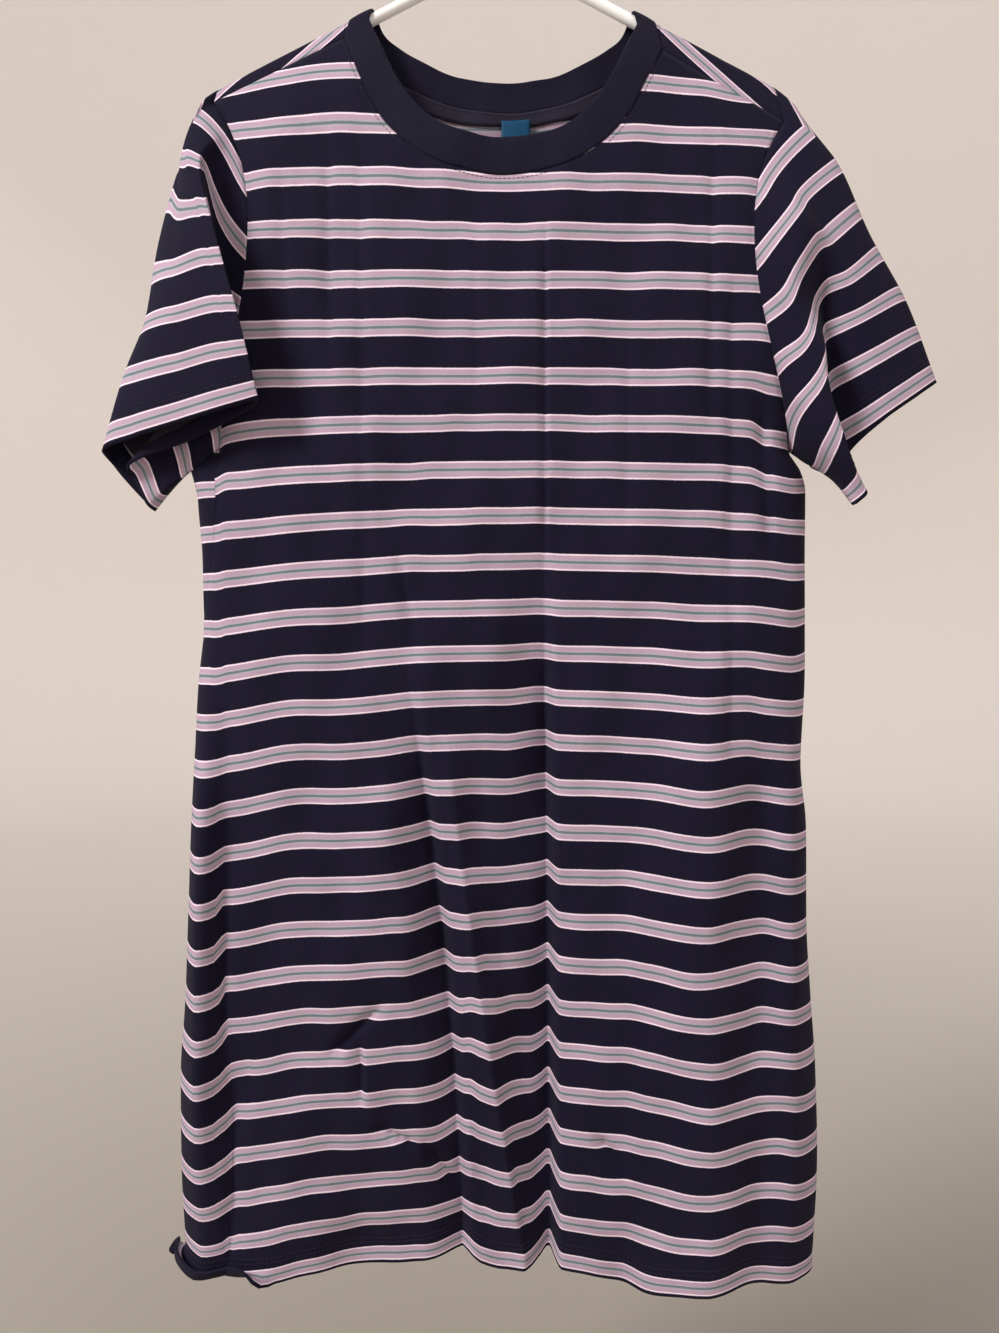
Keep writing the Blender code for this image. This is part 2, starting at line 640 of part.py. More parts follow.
def build_sleeve(name, front, back, edge, table, skew, material):
    """A sleeve from the armhole's points on both panels to its folded hem ring."""
    low = len(SIDE_SHARES) - 1
    front_line, back_line = front[low:, edge], back[low:, edge]
    start = np.concatenate([front_line[::-1], back_line[1:-1]])
    side = SHOULDER_LEFT if edge == 0 else SHOULDER_RIGHT
    armhole = ARMHOLE_LEFT if edge == 0 else ARMHOLE_RIGHT
    front_places = 0.5 * (1 - armhole_shares(side, armhole, -1)[::-1])
    back_places = 0.5 + 0.5 * armhole_shares(side, armhole, 1)[1:-1]
    places = np.concatenate([front_places, back_places])
    end = ring_curve(table, places)
    near_top = np.minimum(places, 1 - places)
    away = -1.0 if edge == 0 else 1.0
    rings = []
    for share in SLEEVE_ROWS:
        ring = start + (end[:, :3] - start) * share + end[:, 3:] * swing_share(share, skew)
        if edge != 0:
            at, span, forward, place, place_span = FRONT_RIDGE_RIGHT
            near = np.exp(-(((share - at) / span) ** 2) - ((places - place) / place_span) ** 2)
            ring[:, 1] -= forward * near * min(share / SLEEVE_ROWS[1], 1.0)
        growth = min(share / SLEEVE_ROWS[1], 1.0)
        cap = np.exp(-((near_top / SHOULDER_CAP_SPAN) ** 2)) * growth * math.exp(-SHOULDER_CAP_FALL * share)
        ring[:, 0] += away * SHOULDER_CAP_OUT * cap
        ring[:, 2] += SHOULDER_CAP_LIFT * cap
        rings.append(ring)
    rings = np.array(rings)
    normals = grid_normals(rings, closed=True)
    under = np.exp(-(((places - 0.5) / UNDERARM_SPAN) ** 2))[:, None]
    drawn_in(rings, normals, 0, 1, SLEEVE_GAP + (UNDERARM_GAP - SLEEVE_GAP) * under, closed=True)
    add_wall(name, rings, normals, CLOTH_THICK, material, closed=True)
    return rings


def build_neckband(front_shares, back_shares, material):
    """The band, one ring of two layers' thickness between the neck seam and its own edge."""
    rows = []
    for share in np.linspace(0, 1, BAND_ROWS):
        ring = []
        for side, shares in ((-1, front_shares), (1, back_shares[-2:0:-1])):
            seam = np.stack(neck_line("seam", shares, side), axis=-1)
            edge = np.stack(neck_line("edge", shares, side), axis=-1)
            ring.append(seam + (edge - seam) * share)
        rows.append(np.concatenate(ring))
    places = np.array(rows)
    middle = on_sheath(places[..., 0], places[..., 1])
    normals = sheath_normals(places[..., 0], places[..., 1])
    drawn_in(middle, normals, 0, 1, SEAM_GAP / 2, closed=True)
    middle += normals * (BAND_THICK - CLOTH_THICK) / 2
    add_wall("neckband", middle, normals, BAND_THICK, material, closed=True)


def below_back_neck(share, distance):
    """x and way along the back panel at this distance below the neck seam."""
    line, ahead, behind = (
        np.stack(neck_line("seam", share + step, 1), axis=-1) for step in (0.0, NECK_STEP, -NECK_STEP)
    )
    across = unit(ahead - behind)
    return line + distance * np.stack([-across[:, 1], across[:, 0]], axis=-1)


def inside_back(places, thickness):
    """Points that lie just inside the back panel, for a piece of this thickness."""
    points = on_sheath(places[..., 0], places[..., 1])
    normals = sheath_normals(places[..., 0], places[..., 1])
    return points - normals * (CLOTH_THICK / 2 + SEAM_GAP + thickness / 2), normals


def build_neck_tape(material):
    share = np.linspace(TAPE_START, 1 - TAPE_START, TAPE_STEPS + 1)
    places = np.array([below_back_neck(share, distance) for distance in (SEAM_GAP, SEAM_GAP + TAPE_HEIGHT)])
    points, normals = inside_back(places, TAPE_THICK)
    add_wall("neck_tape", points, normals, TAPE_THICK, material)


def build_label(material):
    x = LABEL_X + LABEL_WIDTH * np.linspace(-0.5, 0.5, LABEL_STEPS + 1)
    near_reach = NECK_TABLE[4][1]
    share = 0.5 + (0.5 - NECK_TABLE[4][0]) * x / near_reach
    top = neck_line("seam", share, 1)[1].max() + TAPE_HEIGHT + 3 * SEAM_GAP
    rows = []
    for part in np.linspace(0, 1, LABEL_STEPS + 1):
        rows.append(np.stack([x, np.full_like(x, top + part * LABEL_HEIGHT)], axis=-1))
    points, normals = inside_back(np.array(rows), TAPE_THICK)
    add_wall("label", points, normals, TAPE_THICK, material)


def rounded_corner(before, corner, after, radius):
    """Points of the arc that rounds a corner between two straight runs in the XZ plane."""
    into = (corner - before) / np.linalg.norm(corner - before)
    out = (after - corner) / np.linalg.norm(after - corner)
    turn = math.acos(np.clip(np.dot(into, out), -1, 1))
    bend = math.copysign(1.0, into[0] * out[1] - into[1] * out[0])
    across = np.array([-into[1], into[0]]) * bend
    first = corner - into * radius * math.tan(turn / 2)
    angles = np.linspace(0, turn, CORNER_STEPS + 1)[:, None]
    return first + radius * (into * np.sin(angles) + across * (1 - np.cos(angles)))


def add_tube(name, path, closed, material):
    """A round tube along a path in the hanger's plane."""
    if closed:
        ahead = np.roll(path, -1, axis=0) - np.roll(path, 1, axis=0)
    else:
        ahead = np.gradient(path, axis=0)
    ahead = unit(ahead)
    angles = np.arange(TUBE_SIDES) * 2 * math.pi / TUBE_SIDES
    points = []
    for (x, z), (along_x, along_z) in zip(path, ahead):
        for angle in angles:
            out = HANGER_TUBE_RADIUS * math.cos(angle)
            points.append((x - out * along_z, HANGER_TUBE_RADIUS * math.sin(angle), z + out * along_x))
    faces = []
    rings = len(path)
    for ring in range(rings if closed else rings - 1):
        for number in range(TUBE_SIDES):
            a = ring * TUBE_SIDES + number
            b = ring * TUBE_SIDES + (number + 1) % TUBE_SIDES
            c = (ring + 1) % rings * TUBE_SIDES + (number + 1) % TUBE_SIDES
            d = (ring + 1) % rings * TUBE_SIDES + number
            faces.append((a, b, c, d))
    if not closed:
        faces.append(tuple(range(TUBE_SIDES)))
        faces.append(tuple(range((rings - 1) * TUBE_SIDES, rings * TUBE_SIDES)))
    return add_object(name, points, faces, material)


def build_hanger(material):
    """Two arms and the bar as a closed loop, with the hook and its stem joined to the top."""
    drop = ARM_SLOPE * ARM_REACH
    corners = np.array([
        (0.0, -APEX_DROP),
        (ARM_REACH, -APEX_DROP - drop),
        (ARM_REACH, BAR_HEIGHT),
        (-ARM_REACH, BAR_HEIGHT),
        (-ARM_REACH, -APEX_DROP - drop),
    ])
    corners[:, 1] -= ARM_TILT * corners[:, 0]
    count = len(corners)
    loop = []
    for number, radius in enumerate(CORNER_RADII):
        before, after = corners[number - 1], corners[(number + 1) % count]
        loop.append(rounded_corner(before, corners[number], after, radius))
    hanger = add_tube("hanger", np.concatenate(loop), True, material)

    radius = HOOK_INNER_RADIUS + HANGER_TUBE_RADIUS
    angles = np.radians(np.linspace(HOOK_OPEN_ANGLE, HOOK_TURN_ANGLE, HOOK_STEPS + 1))
    arc = np.stack([radius * np.cos(angles), radius * np.sin(angles) - HOOK_INNER_RADIUS], axis=-1)
    heading = math.radians(HOOK_TURN_ANGLE + 90)
    neck_radius = -arc[-1, 0] / (math.sin(heading) + 1)
    turns = np.linspace(heading, math.radians(270), STEM_STEPS + 1)[1:]
    neck_x = arc[-1, 0] + neck_radius * (math.sin(heading) - np.sin(turns))
    neck_z = arc[-1, 1] + neck_radius * (np.cos(turns) - math.cos(heading))
    stem = [(0.0, -APEX_DROP - HANGER_TUBE_RADIUS / 4)]
    path = np.concatenate([arc, np.stack([neck_x, neck_z], axis=-1), stem])
    hook = add_tube("hook_guide", path, False, material)
    hook.hide_render = True
    hook.display_type = "WIRE"
    join = hanger.modifiers.new("hook", "BOOLEAN")
    join.operation = "UNION"
    join.solver = "EXACT"
    join.object = hook


def main():
    clear_scene()
    navy = plain_material("navy jersey", NAVY, 0.85)
    rib = plain_material("navy rib", NAVY, 0.8)
    blue = plain_material("label blue", LABEL_BLUE, 0.6)
    white = plain_material("white plastic", WHITE, 0.35)
    front_shares = np.linspace(0, 1, FRONT_NECK_STEPS + 1)
    back_shares = back_neck_shares()
    front = build_panel("front", -1, front_shares, navy)
    back = build_panel("back", 1, back_shares, navy)
    build_sleeve("sleeve_left", front, back, 0, SLEEVE_LEFT, SLEEVE_SKEW_LEFT, navy)
    build_sleeve("sleeve_right", front, back, -1, SLEEVE_RIGHT, SLEEVE_SKEW_RIGHT, navy)
    build_neckband(front_shares, back_shares, rib)
    build_neck_tape(rib)
    build_label(blue)
    build_hanger(white)


main()
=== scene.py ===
import math

import bpy
import numpy as np
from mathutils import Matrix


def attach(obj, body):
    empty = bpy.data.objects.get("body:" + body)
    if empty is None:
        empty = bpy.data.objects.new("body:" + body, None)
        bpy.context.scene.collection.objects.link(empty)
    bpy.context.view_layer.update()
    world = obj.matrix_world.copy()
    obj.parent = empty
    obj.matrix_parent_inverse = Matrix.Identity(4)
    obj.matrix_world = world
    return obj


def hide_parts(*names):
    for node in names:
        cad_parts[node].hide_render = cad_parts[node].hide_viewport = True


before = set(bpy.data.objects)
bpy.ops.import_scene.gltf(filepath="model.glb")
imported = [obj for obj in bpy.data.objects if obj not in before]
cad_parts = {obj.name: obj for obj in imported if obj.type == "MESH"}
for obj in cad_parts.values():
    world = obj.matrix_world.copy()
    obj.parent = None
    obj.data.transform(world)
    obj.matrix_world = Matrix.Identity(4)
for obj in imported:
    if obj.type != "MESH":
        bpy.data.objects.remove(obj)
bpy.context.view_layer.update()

cameraSettings = {"place": (-0.0025, -0.745, -0.545), "down": 4.0, "lens": 27.06, "sensor": 36.0}


def addCamera():
    camera = bpy.data.cameras.new("camera")
    camera.lens = cameraSettings["lens"]
    camera.sensor_width = cameraSettings["sensor"]
    camera.clip_start = 0.01
    camera.clip_end = 60.0
    holder = bpy.data.objects.new("camera", camera)
    holder.location = cameraSettings["place"]
    holder.rotation_euler = (math.radians(90 - cameraSettings["down"]), 0.0, 0.0)
    bpy.context.scene.collection.objects.link(holder)
    bpy.context.scene.camera = holder


addCamera()

# A striped t-shirt dress on a tubular hanger. Left and right are the viewer's, so left is -X.
# Every piece of cloth is a thin shell, worked out on the form of the CAD solid that it stands for.


def smooth(share):
    share = np.clip(share, 0.0, 1.0)
    return share * share * (3 - 2 * share)


def curveAt(places, values, where):  # smooth, and never overshoots the rows
    places = np.asarray(places, float)
    values = np.asarray(values, float)
    if places[0] > places[-1]:
        places, values = places[::-1], values[::-1]
    where = np.clip(where, places[0], places[-1])
    steps = np.diff(places)
    rises = np.diff(values) / steps
    slopes = np.zeros(len(values))
    turning = rises[:-1] * rises[1:] > 0
    inner = 2 * rises[:-1] * rises[1:] / np.where(turning, rises[:-1] + rises[1:], 1.0)
    slopes[1:-1] = np.where(turning, inner, 0.0)
    slopes[0], slopes[-1] = rises[0], rises[-1]
    low = np.clip(np.searchsorted(places, where, side="right") - 1, 0, len(steps) - 1)
    share = (where - places[low]) / steps[low]
    step = steps[low]
    return (
        values[low] * (1 + 2 * share) * (1 - share) ** 2
        + slopes[low] * step * share * (1 - share) ** 2
        + values[low + 1] * share**2 * (3 - 2 * share)
        + slopes[low + 1] * step * share**2 * (share - 1)
    )


def column(rows, number, where):
    return curveAt([row[0] for row in rows], [row[number] for row in rows], where)


def unit(vectors):
    return vectors / np.maximum(np.linalg.norm(vectors, axis=-1, keepdims=True), 1e-12)


# The hanger's sizes come first, because the cloth hangs from it.
hangerSettings = {
    "tubeRadius": 0.004,
    "armSlope": 0.505,
    "armReach": 0.197,
    "armTilt": 0.009,
    "apexDrop": 0.0888,
    "apexRound": 0.012,
    "barHeight": -0.226,
    "cornerRadii": (0.030, 0.012, 0.014, 0.014, 0.012),
    "hookRadius": 0.020,
    "hookOpenAngle": -20.0,
    "hookTurnAngle": 235.0,
    "sides": 28,
    "cornerSteps": 12,
    "hookSteps": 60,
    "stemSteps": 14,
    "stemOverlap": 0.001,
    "tipRings": 8,
    "seamHeight": 0.00018,  # the mould's parting line
}

# The body's form, which the panels, neckband, tape and label are laid on.
bodyForm = {
    "ridgeRadius": 0.0054,
    "hem": -1.0475,
    "underarm": -0.437,
    "frontFullness": 0.019,
    "backFullness": 0.008,
    "fullnessFall": 0.06,
    "skirtFullness": 0.007,
    "edgePower": 12,
    "sideBendStart": 0.9,
    "foldGrowth": 2.8,
    "sagWaist": -0.62,
    "sagChest": -0.40,
    # height, reach to the left and right, and how far each side seam lies round onto the front
    "sides": (
        (-0.200, 0.262, 0.262, 0.100, -0.040),
        (-0.340, 0.240, 0.238, 0.100, -0.040),
        (-0.437, 0.208, 0.208, 0.052, 0.000),
        (-0.454, 0.2180, 0.218, 0.096, -0.020),
        (-0.467, 0.2235, 0.2215, 0.121, -0.030),
        (-0.511, 0.221, 0.222, 0.088, -0.040),
        (-0.548, 0.221, 0.223, 0.035, -0.040),
        (-0.596, 0.226, 0.224, -0.030, -0.040),
        (-0.660, 0.230, 0.222, -0.030, -0.040),
        (-0.707, 0.233, 0.227, -0.030, -0.040),
        (-0.784, 0.237, 0.229, -0.030, -0.040),
        (-0.834, 0.240, 0.233, -0.030, -0.040),
        (-0.893, 0.245, 0.238, -0.030, -0.040),
        (-0.966, 0.246, 0.241, -0.030, -0.040),
        (-1.060, 0.243, 0.238, -0.030, -0.040),
    ),
    # x, and how far the courses hang below level ones at the waist and at the hem
    "sags": (
        (-0.260, 0.0180, 0.0140),
        (-0.215, 0.0160, 0.0120),
        (-0.175, 0.0100, 0.0090),
        (-0.140, 0.0060, 0.0040),
        (-0.094, 0.0040, 0.0020),
        (-0.050, 0.0010, -0.0034),
        (-0.026, 0.0005, -0.0058),
        (-0.016, 0.0003, 0.0010),
        (0.000, 0.0000, 0.0060),
        (0.020, -0.0010, 0.0044),
        (0.0285, -0.0015, -0.0007),
        (0.034, -0.0020, -0.0060),
        (0.044, -0.0015, -0.0010),
        (0.061, -0.0005, 0.0010),
        (0.088, 0.0005, 0.0080),
        (0.107, 0.0010, 0.0140),
        (0.140, 0.0030, 0.0095),
        (0.180, 0.0040, 0.0070),
        (0.218, 0.0070, 0.0110),
        (0.260, 0.0080, 0.0100),
    ),
    # top, x at top, middle and hem, depth at middle and hem, spread left and right, crispness
    "frontFolds": (
        (-0.560, 0.000, -0.005, -0.005, 0.010, 0.013, 0.095, 0.070, 0.0),
        (-0.480, 0.029, 0.034, 0.037, 0.021, 0.020, 0.044, 0.007, 0.85),
        (-0.545, -0.078, -0.045, -0.030, 0.014, 0.012, 0.030, 0.009, 0.85),
        (-0.610, -0.045, -0.018, 0.018, -0.012, -0.012, 0.024, 0.022, 1.0),
        (-0.520, 0.141, 0.148, 0.151, -0.018, -0.016, 0.064, 0.044, 0.2),
        (-0.560, -0.213, -0.222, -0.224, -0.024, -0.010, 0.030, 0.020, 0.4),
        (-0.560, 0.207, 0.213, 0.215, -0.006, -0.005, 0.022, 0.016, 0.2),
        (-0.950, -0.095, -0.095, -0.095, 0.006, 0.014, 0.080, 0.070, 0.0),
    ),
    "backFolds": (
        (-0.420, -0.120, -0.135, -0.150, -0.012, -0.016, 0.060, 0.050, 0.2),
        (-0.560, -0.060, -0.045, -0.030, 0.005, 0.006, 0.036, 0.018, 0.6),
        (-0.500, 0.020, 0.045, 0.070, -0.010, -0.015, 0.050, 0.060, 0.2),
        (-0.600, 0.100, 0.108, 0.114, 0.006, 0.006, 0.016, 0.034, 0.6),
        (-0.620, 0.160, 0.165, 0.170, -0.012, -0.014, 0.040, 0.036, 0.2),
    ),
    # small creases on the front: x and height of both ends, depth, spread left and right
    "frontCreases": (
        (0.0300, -0.250, 0.0305, -0.560, 0.0026, 0.007, 0.003),
        (-0.1225, -0.190, -0.1225, -0.420, 0.0022, 0.010, 0.005),
        (-0.1010, -0.180, -0.1010, -0.640, 0.0018, 0.005, 0.010),
        (-0.0200, -0.270, -0.0190, -0.420, 0.0010, 0.009, 0.009),
        (-0.1560, -0.230, -0.1530, -0.380, 0.0014, 0.009, 0.007),
        (0.1480, -0.200, 0.1470, -0.460, 0.0022, 0.008, 0.005),
        (0.1620, -0.300, 0.1600, -0.520, 0.0018, 0.004, 0.008),
        (0.0900, -0.330, 0.0870, -0.520, 0.0012, 0.010, 0.008),
        (0.1860, -0.400, 0.1930, -0.530, 0.0060, 0.012, 0.004),
        (-0.2060, -0.700, -0.2080, -0.900, 0.0040, 0.003, 0.010),
        (0.1630, -0.375, 0.1610, -0.700, 0.0030, 0.003, 0.014),
        (-0.078, -0.500, -0.058, -0.607, 0.0035, 0.010, 0.006),
        (-0.085, -0.840, -0.133, -0.887, 0.0060, 0.010, 0.010),
        (-0.105, -0.865, -0.104, -0.925, 0.0050, 0.012, 0.004),
        (-0.098, -0.933, -0.061, -0.957, 0.0055, 0.012, 0.012),
        (-0.061, -0.950, -0.033, -0.996, 0.0055, 0.008, 0.008),
        (0.068, -0.940, 0.096, -0.975, 0.0055, 0.010, 0.006),
        (-0.190, -0.870, -0.185, -0.925, 0.0025, 0.012, 0.006),
        (-0.2005, -0.890, -0.206, -1.060, 0.0060, 0.003, 0.014),
        (0.005, -0.930, 0.018, -1.049, 0.0030, 0.006, 0.010),
    ),
    "backCreases": (
        (-0.010, -0.260, -0.012, -0.700, 0.0012, 0.006, 0.004),
        (0.090, -0.240, 0.094, -0.480, 0.0010, 0.008, 0.006),
        (-0.150, -0.300, -0.146, -0.560, 0.0012, 0.006, 0.010),
        (0.035, -0.800, 0.085, -0.850, 0.0035, 0.012, 0.012),
        (-0.095, -0.700, -0.070, -0.760, 0.0030, 0.012, 0.008),
        (-0.020, -0.880, -0.060, -0.930, 0.0035, 0.012, 0.012),
        (0.150, -0.900, 0.130, -0.960, 0.0030, 0.010, 0.010),
    ),
    # slow unevenness of hanging jersey: waves per metre across and down, phase, depth
    "ripples": (
        (9.0, 2.6, 0.4, 0.0011),
        (15.5, -4.3, 2.1, 0.0008),
        (24.0, 6.8, 4.4, 0.0005),
        (6.0, 11.0, 1.3, 0.0006),
        (33.0, -14.0, 5.2, 0.0003),
    ),
    "turnedRise": 0.013,
    "turnedRadius": 0.0022,
    "turnedAngle": 158.0,
    "turnedPlaces": (-0.66, -0.76, -1.00, -1.07),
    # the turned corner is drawn out to the left: from x, over a span, below a height, and its growth
    "tip": (-0.180, 0.030, -1.040, 48.0),
    "clothWidth": 1.02,  # the cloth is a little wider than the form's own x
}

quarter = bodyForm["ridgeRadius"] * math.pi / 2  # way round the ridge's quarter circle


def ridgeHeight(x):
    hanger = hangerSettings
    reach = np.sqrt(np.asarray(x) ** 2 + hanger["apexRound"] ** 2)
    top = -hanger["apexDrop"] + bodyForm["ridgeRadius"] * math.hypot(1, hanger["armSlope"])
    return top - hanger["armSlope"] * reach - hanger["armTilt"] * np.asarray(x)


def sideReach(height, x):
    left = column(bodyForm["sides"], 1, height)
    right = column(bodyForm["sides"], 2, height)
    return np.where(np.asarray(x) < 0, left, right)


def edgeShare(x, height):
    across = np.clip(np.abs(x) / sideReach(height, x), 0.0, 1.0)
    return np.sqrt(1 - across ** bodyForm["edgePower"])


def foldDepth(folds, x, height):
    depth = np.zeros(np.broadcast(x, height).shape)
    for top, xTop, xMiddle, xHem, middle, hem, left, right, crisp in folds:
        share = (top - height) / (top - bodyForm["hem"])
        low = np.clip(share, 0.0, 1.2)
        pull = 4 * xMiddle - xTop * 2 - xHem * 2
        centre = xTop + (xHem - xTop) * low + pull * low * (1 - low)
        amount = middle + (hem - middle) * smooth(2 * low - 1)
        away = x - centre
        near = np.clip(1 - np.abs(away) / np.where(away < 0, left, right), 0.0, 1.0)
        shape = smooth(near) * (1 - crisp) + near**1.5 * crisp
        depth = depth + amount * smooth(share * bodyForm["foldGrowth"]) * shape
    return depth


def creaseDepth(creases, x, height):
    depth = np.zeros(np.broadcast(x, height).shape)
    for xTop, top, xEnd, end, amount, left, right in creases:
        share = np.clip((top - height) / (top - end), 0.0, 1.0)
        fade = smooth(3.5 * share) * smooth(3.5 * (1 - share))
        away = x - xTop - (xEnd - xTop) * share
        near = np.clip(1 - np.abs(away) / np.where(away < 0, left, right), 0.0, 1.0)
        depth = depth + amount * fade * near**1.4
    return depth


def rippleDepth(x, height, side):
    depth = np.zeros(np.broadcast(x, height).shape)
    for across, down, phase, amount in bodyForm["ripples"]:
        depth = depth + amount * np.sin(2 * math.pi * (across * x * side + down * height) + phase + side)
    return depth


def halfDepth(x, height, side):  # distance from the hanger's plane; side is -1 for the front
    form = bodyForm
    below = np.maximum(ridgeHeight(x) - height, 0.0)
    short = form["ridgeRadius"] - np.minimum(below, form["ridgeRadius"])
    roundTop = np.sqrt(np.maximum(form["ridgeRadius"] ** 2 - short**2, 0.0))
    fullness = np.where(side < 0, form["frontFullness"], form["backFullness"])
    fall = 1 - np.exp(-np.maximum(below - form["ridgeRadius"], 0.0) / form["fullnessFall"])
    skirt = form["skirtFullness"] * smooth((form["underarm"] - height) / (form["underarm"] - form["hem"]))
    front = foldDepth(form["frontFolds"], x, height) + creaseDepth(form["frontCreases"], x, height)
    back = foldDepth(form["backFolds"], x, height) + creaseDepth(form["backCreases"], x, height)
    ripple = rippleDepth(x, height, np.where(side < 0, -1.0, 1.0)) * fall
    depth = form["ridgeRadius"] + fullness * fall + skirt - np.where(side < 0, front, back) - ripple
    return np.where(below < form["ridgeRadius"], roundTop, depth)


def onSheath(x, along):  # along is the way over the cloth from the ridge, negative down the front
    radius = bodyForm["ridgeRadius"]
    bend = np.minimum(np.abs(along), quarter)
    below = radius * (1 - np.cos(bend / radius)) + np.maximum(np.abs(along) - quarter, 0.0)
    height = ridgeHeight(x) - below
    side = np.where(along < 0, -1.0, 1.0)
    depth = side * halfDepth(x, height, side) * edgeShare(x, height)
    return np.stack([np.broadcast_to(x, depth.shape), depth, height], axis=-1)


def alongAt(x, height, side):
    below = np.maximum(ridgeHeight(x) - height, 0.0)
    return side * (quarter + below - bodyForm["ridgeRadius"])


def sheathNormals(x, along, step=0.0005):
    across = onSheath(x + step, along) - onSheath(x - step, along)
    down = onSheath(x, along + step) - onSheath(x, along - step)
    return unit(np.cross(across, down))


def clothAt(places):  # points and normals of the sheath, at places of x and way
    return onSheath(places[..., 0], places[..., 1]), sheathNormals(places[..., 0], places[..., 1])


def sag(x, height):
    form = bodyForm
    waist = column(form["sags"], 1, x)
    hem = column(form["sags"], 2, x)
    low = smooth((form["sagWaist"] - height) / (form["sagWaist"] - form["hem"]))
    high = smooth((form["sagChest"] - height) / (form["sagChest"] - form["sagWaist"]))
    return waist * high * (1 - low) + hem * low


def bendShare(around):
    start = bodyForm["sideBendStart"]
    size = np.abs(around)
    rounded = 1 - (1 - size) ** 2 / (1 - start**2)
    return np.sign(around) * np.where(size < start, 2 / (1 + start) * size, rounded)


def onPlainTube(around, level):  # -1 to 1 is the front, and past each edge the back
    front = np.abs(around) <= 1
    folded = np.where(front, around, np.where(around < 0, -2.0, 2.0) - around)
    side = np.where(front, -1.0, 1.0)
    x = bendShare(folded) * sideReach(level, folded)
    height = level - sag(x, level)
    return np.stack([x, side * halfDepth(x, height, side) * edgeShare(x, level), height], axis=-1)


def onTube(around, level, step=0.01):  # the same, with the bottom left corner turned out and up
    form = bodyForm
    start, full, fullEnd, end = form["turnedPlaces"]
    turned = smooth((start - around) / (start - full)) * smooth((around - end) / (fullEnd - end))
    turn = math.radians(form["turnedAngle"]) * turned
    foldLevel = form["hem"] + form["turnedRise"]
    past = np.maximum(foldLevel - level, 0.0)
    bent = np.minimum(past / form["turnedRadius"], turn)
    straight = past - bent * form["turnedRadius"]
    outward = form["turnedRadius"] * (1 - np.cos(bent)) + straight * np.sin(bent)
    down = form["turnedRadius"] * np.sin(bent) + straight * np.cos(bent)
    point = onPlainTube(around, np.maximum(level, foldLevel))
    flat = np.full_like(around, foldLevel)
    across = onPlainTube(around + step, flat) - onPlainTube(around - step, flat)
    size = np.hypot(across[..., 0], across[..., 1])
    point[..., 0] += outward * across[..., 1] / size
    point[..., 1] -= outward * across[..., 0] / size
    point[..., 2] -= down
    x, span, height, pull = form["tip"]
    point[..., 0] -= pull * np.maximum(height - point[..., 2], 0.0) ** 2 * smooth((x - point[..., 0]) / span)
    return point


# Where the seams of the shoulders, neck and armholes run over the body's form.
seamLines = {
    # share from the shoulder seam to the middle, then the seam's reach, front and back height, and the edge's
    "neck": (
        (0.00, 0.1120, -0.1540, -0.1540, 0.0945, -0.1390, -0.1390),
        (0.10, 0.1005, -0.1830, -0.1570, 0.0865, -0.1580, -0.1415),
        (0.20, 0.0860, -0.2105, -0.1690, 0.0740, -0.1840, -0.1520),
        (0.30, 0.0620, -0.2335, -0.1815, 0.0545, -0.2085, -0.1620),
        (0.40, 0.0330, -0.2465, -0.1905, 0.0290, -0.2215, -0.1700),
        (0.50, 0.0000, -0.2508, -0.1940, 0.0000, -0.2250, -0.1725),
    ),
    "seamColumns": (1, 2, 3),
    "edgeColumns": (4, 5, 6),
    "edgeDrops": (0.008, 0.010),
    # drop at the neck, drop at the shoulder point, x of the shoulder point
    "shoulders": {-1: (0.013, 0.010, -0.2055), 1: (0.020, 0.025, 0.1990)},
    # x at the underarm, scoop of the front and of the back
    "armholes": {-1: (-0.205, 0.026, 0.016), 1: (0.203, 0.025, 0.016)},
    "backLength": 0.0130,
    "backRise": 0.10,
    "backRiseFrom": 0.162,
    "backRiseSpan": 0.2,
    "scoopShare": 0.78,
    "scoopPower": 1.2,
    "shoulderSpread": 1.35,
}


def shoulderLine(hand, share):
    neckDrop, pointDrop, pointX = seamLines["shoulders"][hand]
    neckX = hand * seamLines["neck"][0][1]
    x = pointX + (neckX - pointX) * share
    drop = pointDrop + (neckDrop - pointDrop) * share
    return x, alongAt(x, ridgeHeight(x) - drop, -1)


def neckLine(line, share, side):
    share = np.asarray(share, float)
    half = 0.5 - np.abs(share - 0.5)
    rows = np.array(seamLines["neck"])
    mirrored = np.isin(np.arange(rows.shape[1]), (1, 4))  # the columns that hold an x
    past = rows[-2] * np.where(mirrored, -1, 1)  # the line runs on evenly past the middle
    past[0] = 1 - past[0]
    rows = np.vstack([rows, past])
    reachColumn, frontColumn, backColumn = seamLines[line + "Columns"]
    reach, heights = rows[:, reachColumn], rows[:, frontColumn if side < 0 else backColumn]
    if line == "seam":
        drops = [seamLines["shoulders"][hand][0] for hand in (-1, 1)]
    else:
        drops = seamLines["edgeDrops"]
    ways = []
    for drop in drops:
        way = alongAt(reach, heights, side)
        way[0] = alongAt(reach[0], ridgeHeight(reach[0]) - drop, -1)
        ways.append(curveAt(rows[:, 0], way, half))
    x = np.where(share < 0.5, -1, 1) * curveAt(rows[:, 0], reach, half)
    return x, np.where(share < 0.5, ways[0], ways[1])


def armholeLine(hand, share, side):
    underarmX, frontScoop, backScoop = seamLines["armholes"][hand]
    pointX, pointAlong = shoulderLine(hand, 0.0)
    down = 1 - share
    dip = np.sin(np.pi * down ** seamLines["scoopShare"]) ** seamLines["scoopPower"]
    x = pointX + (underarmX - pointX) * down - hand * (frontScoop if side < 0 else backScoop) * dip
    low = alongAt(underarmX, bodyForm["underarm"] - sag(underarmX, bodyForm["underarm"]), side)
    return x, pointAlong + (low - pointAlong) * down


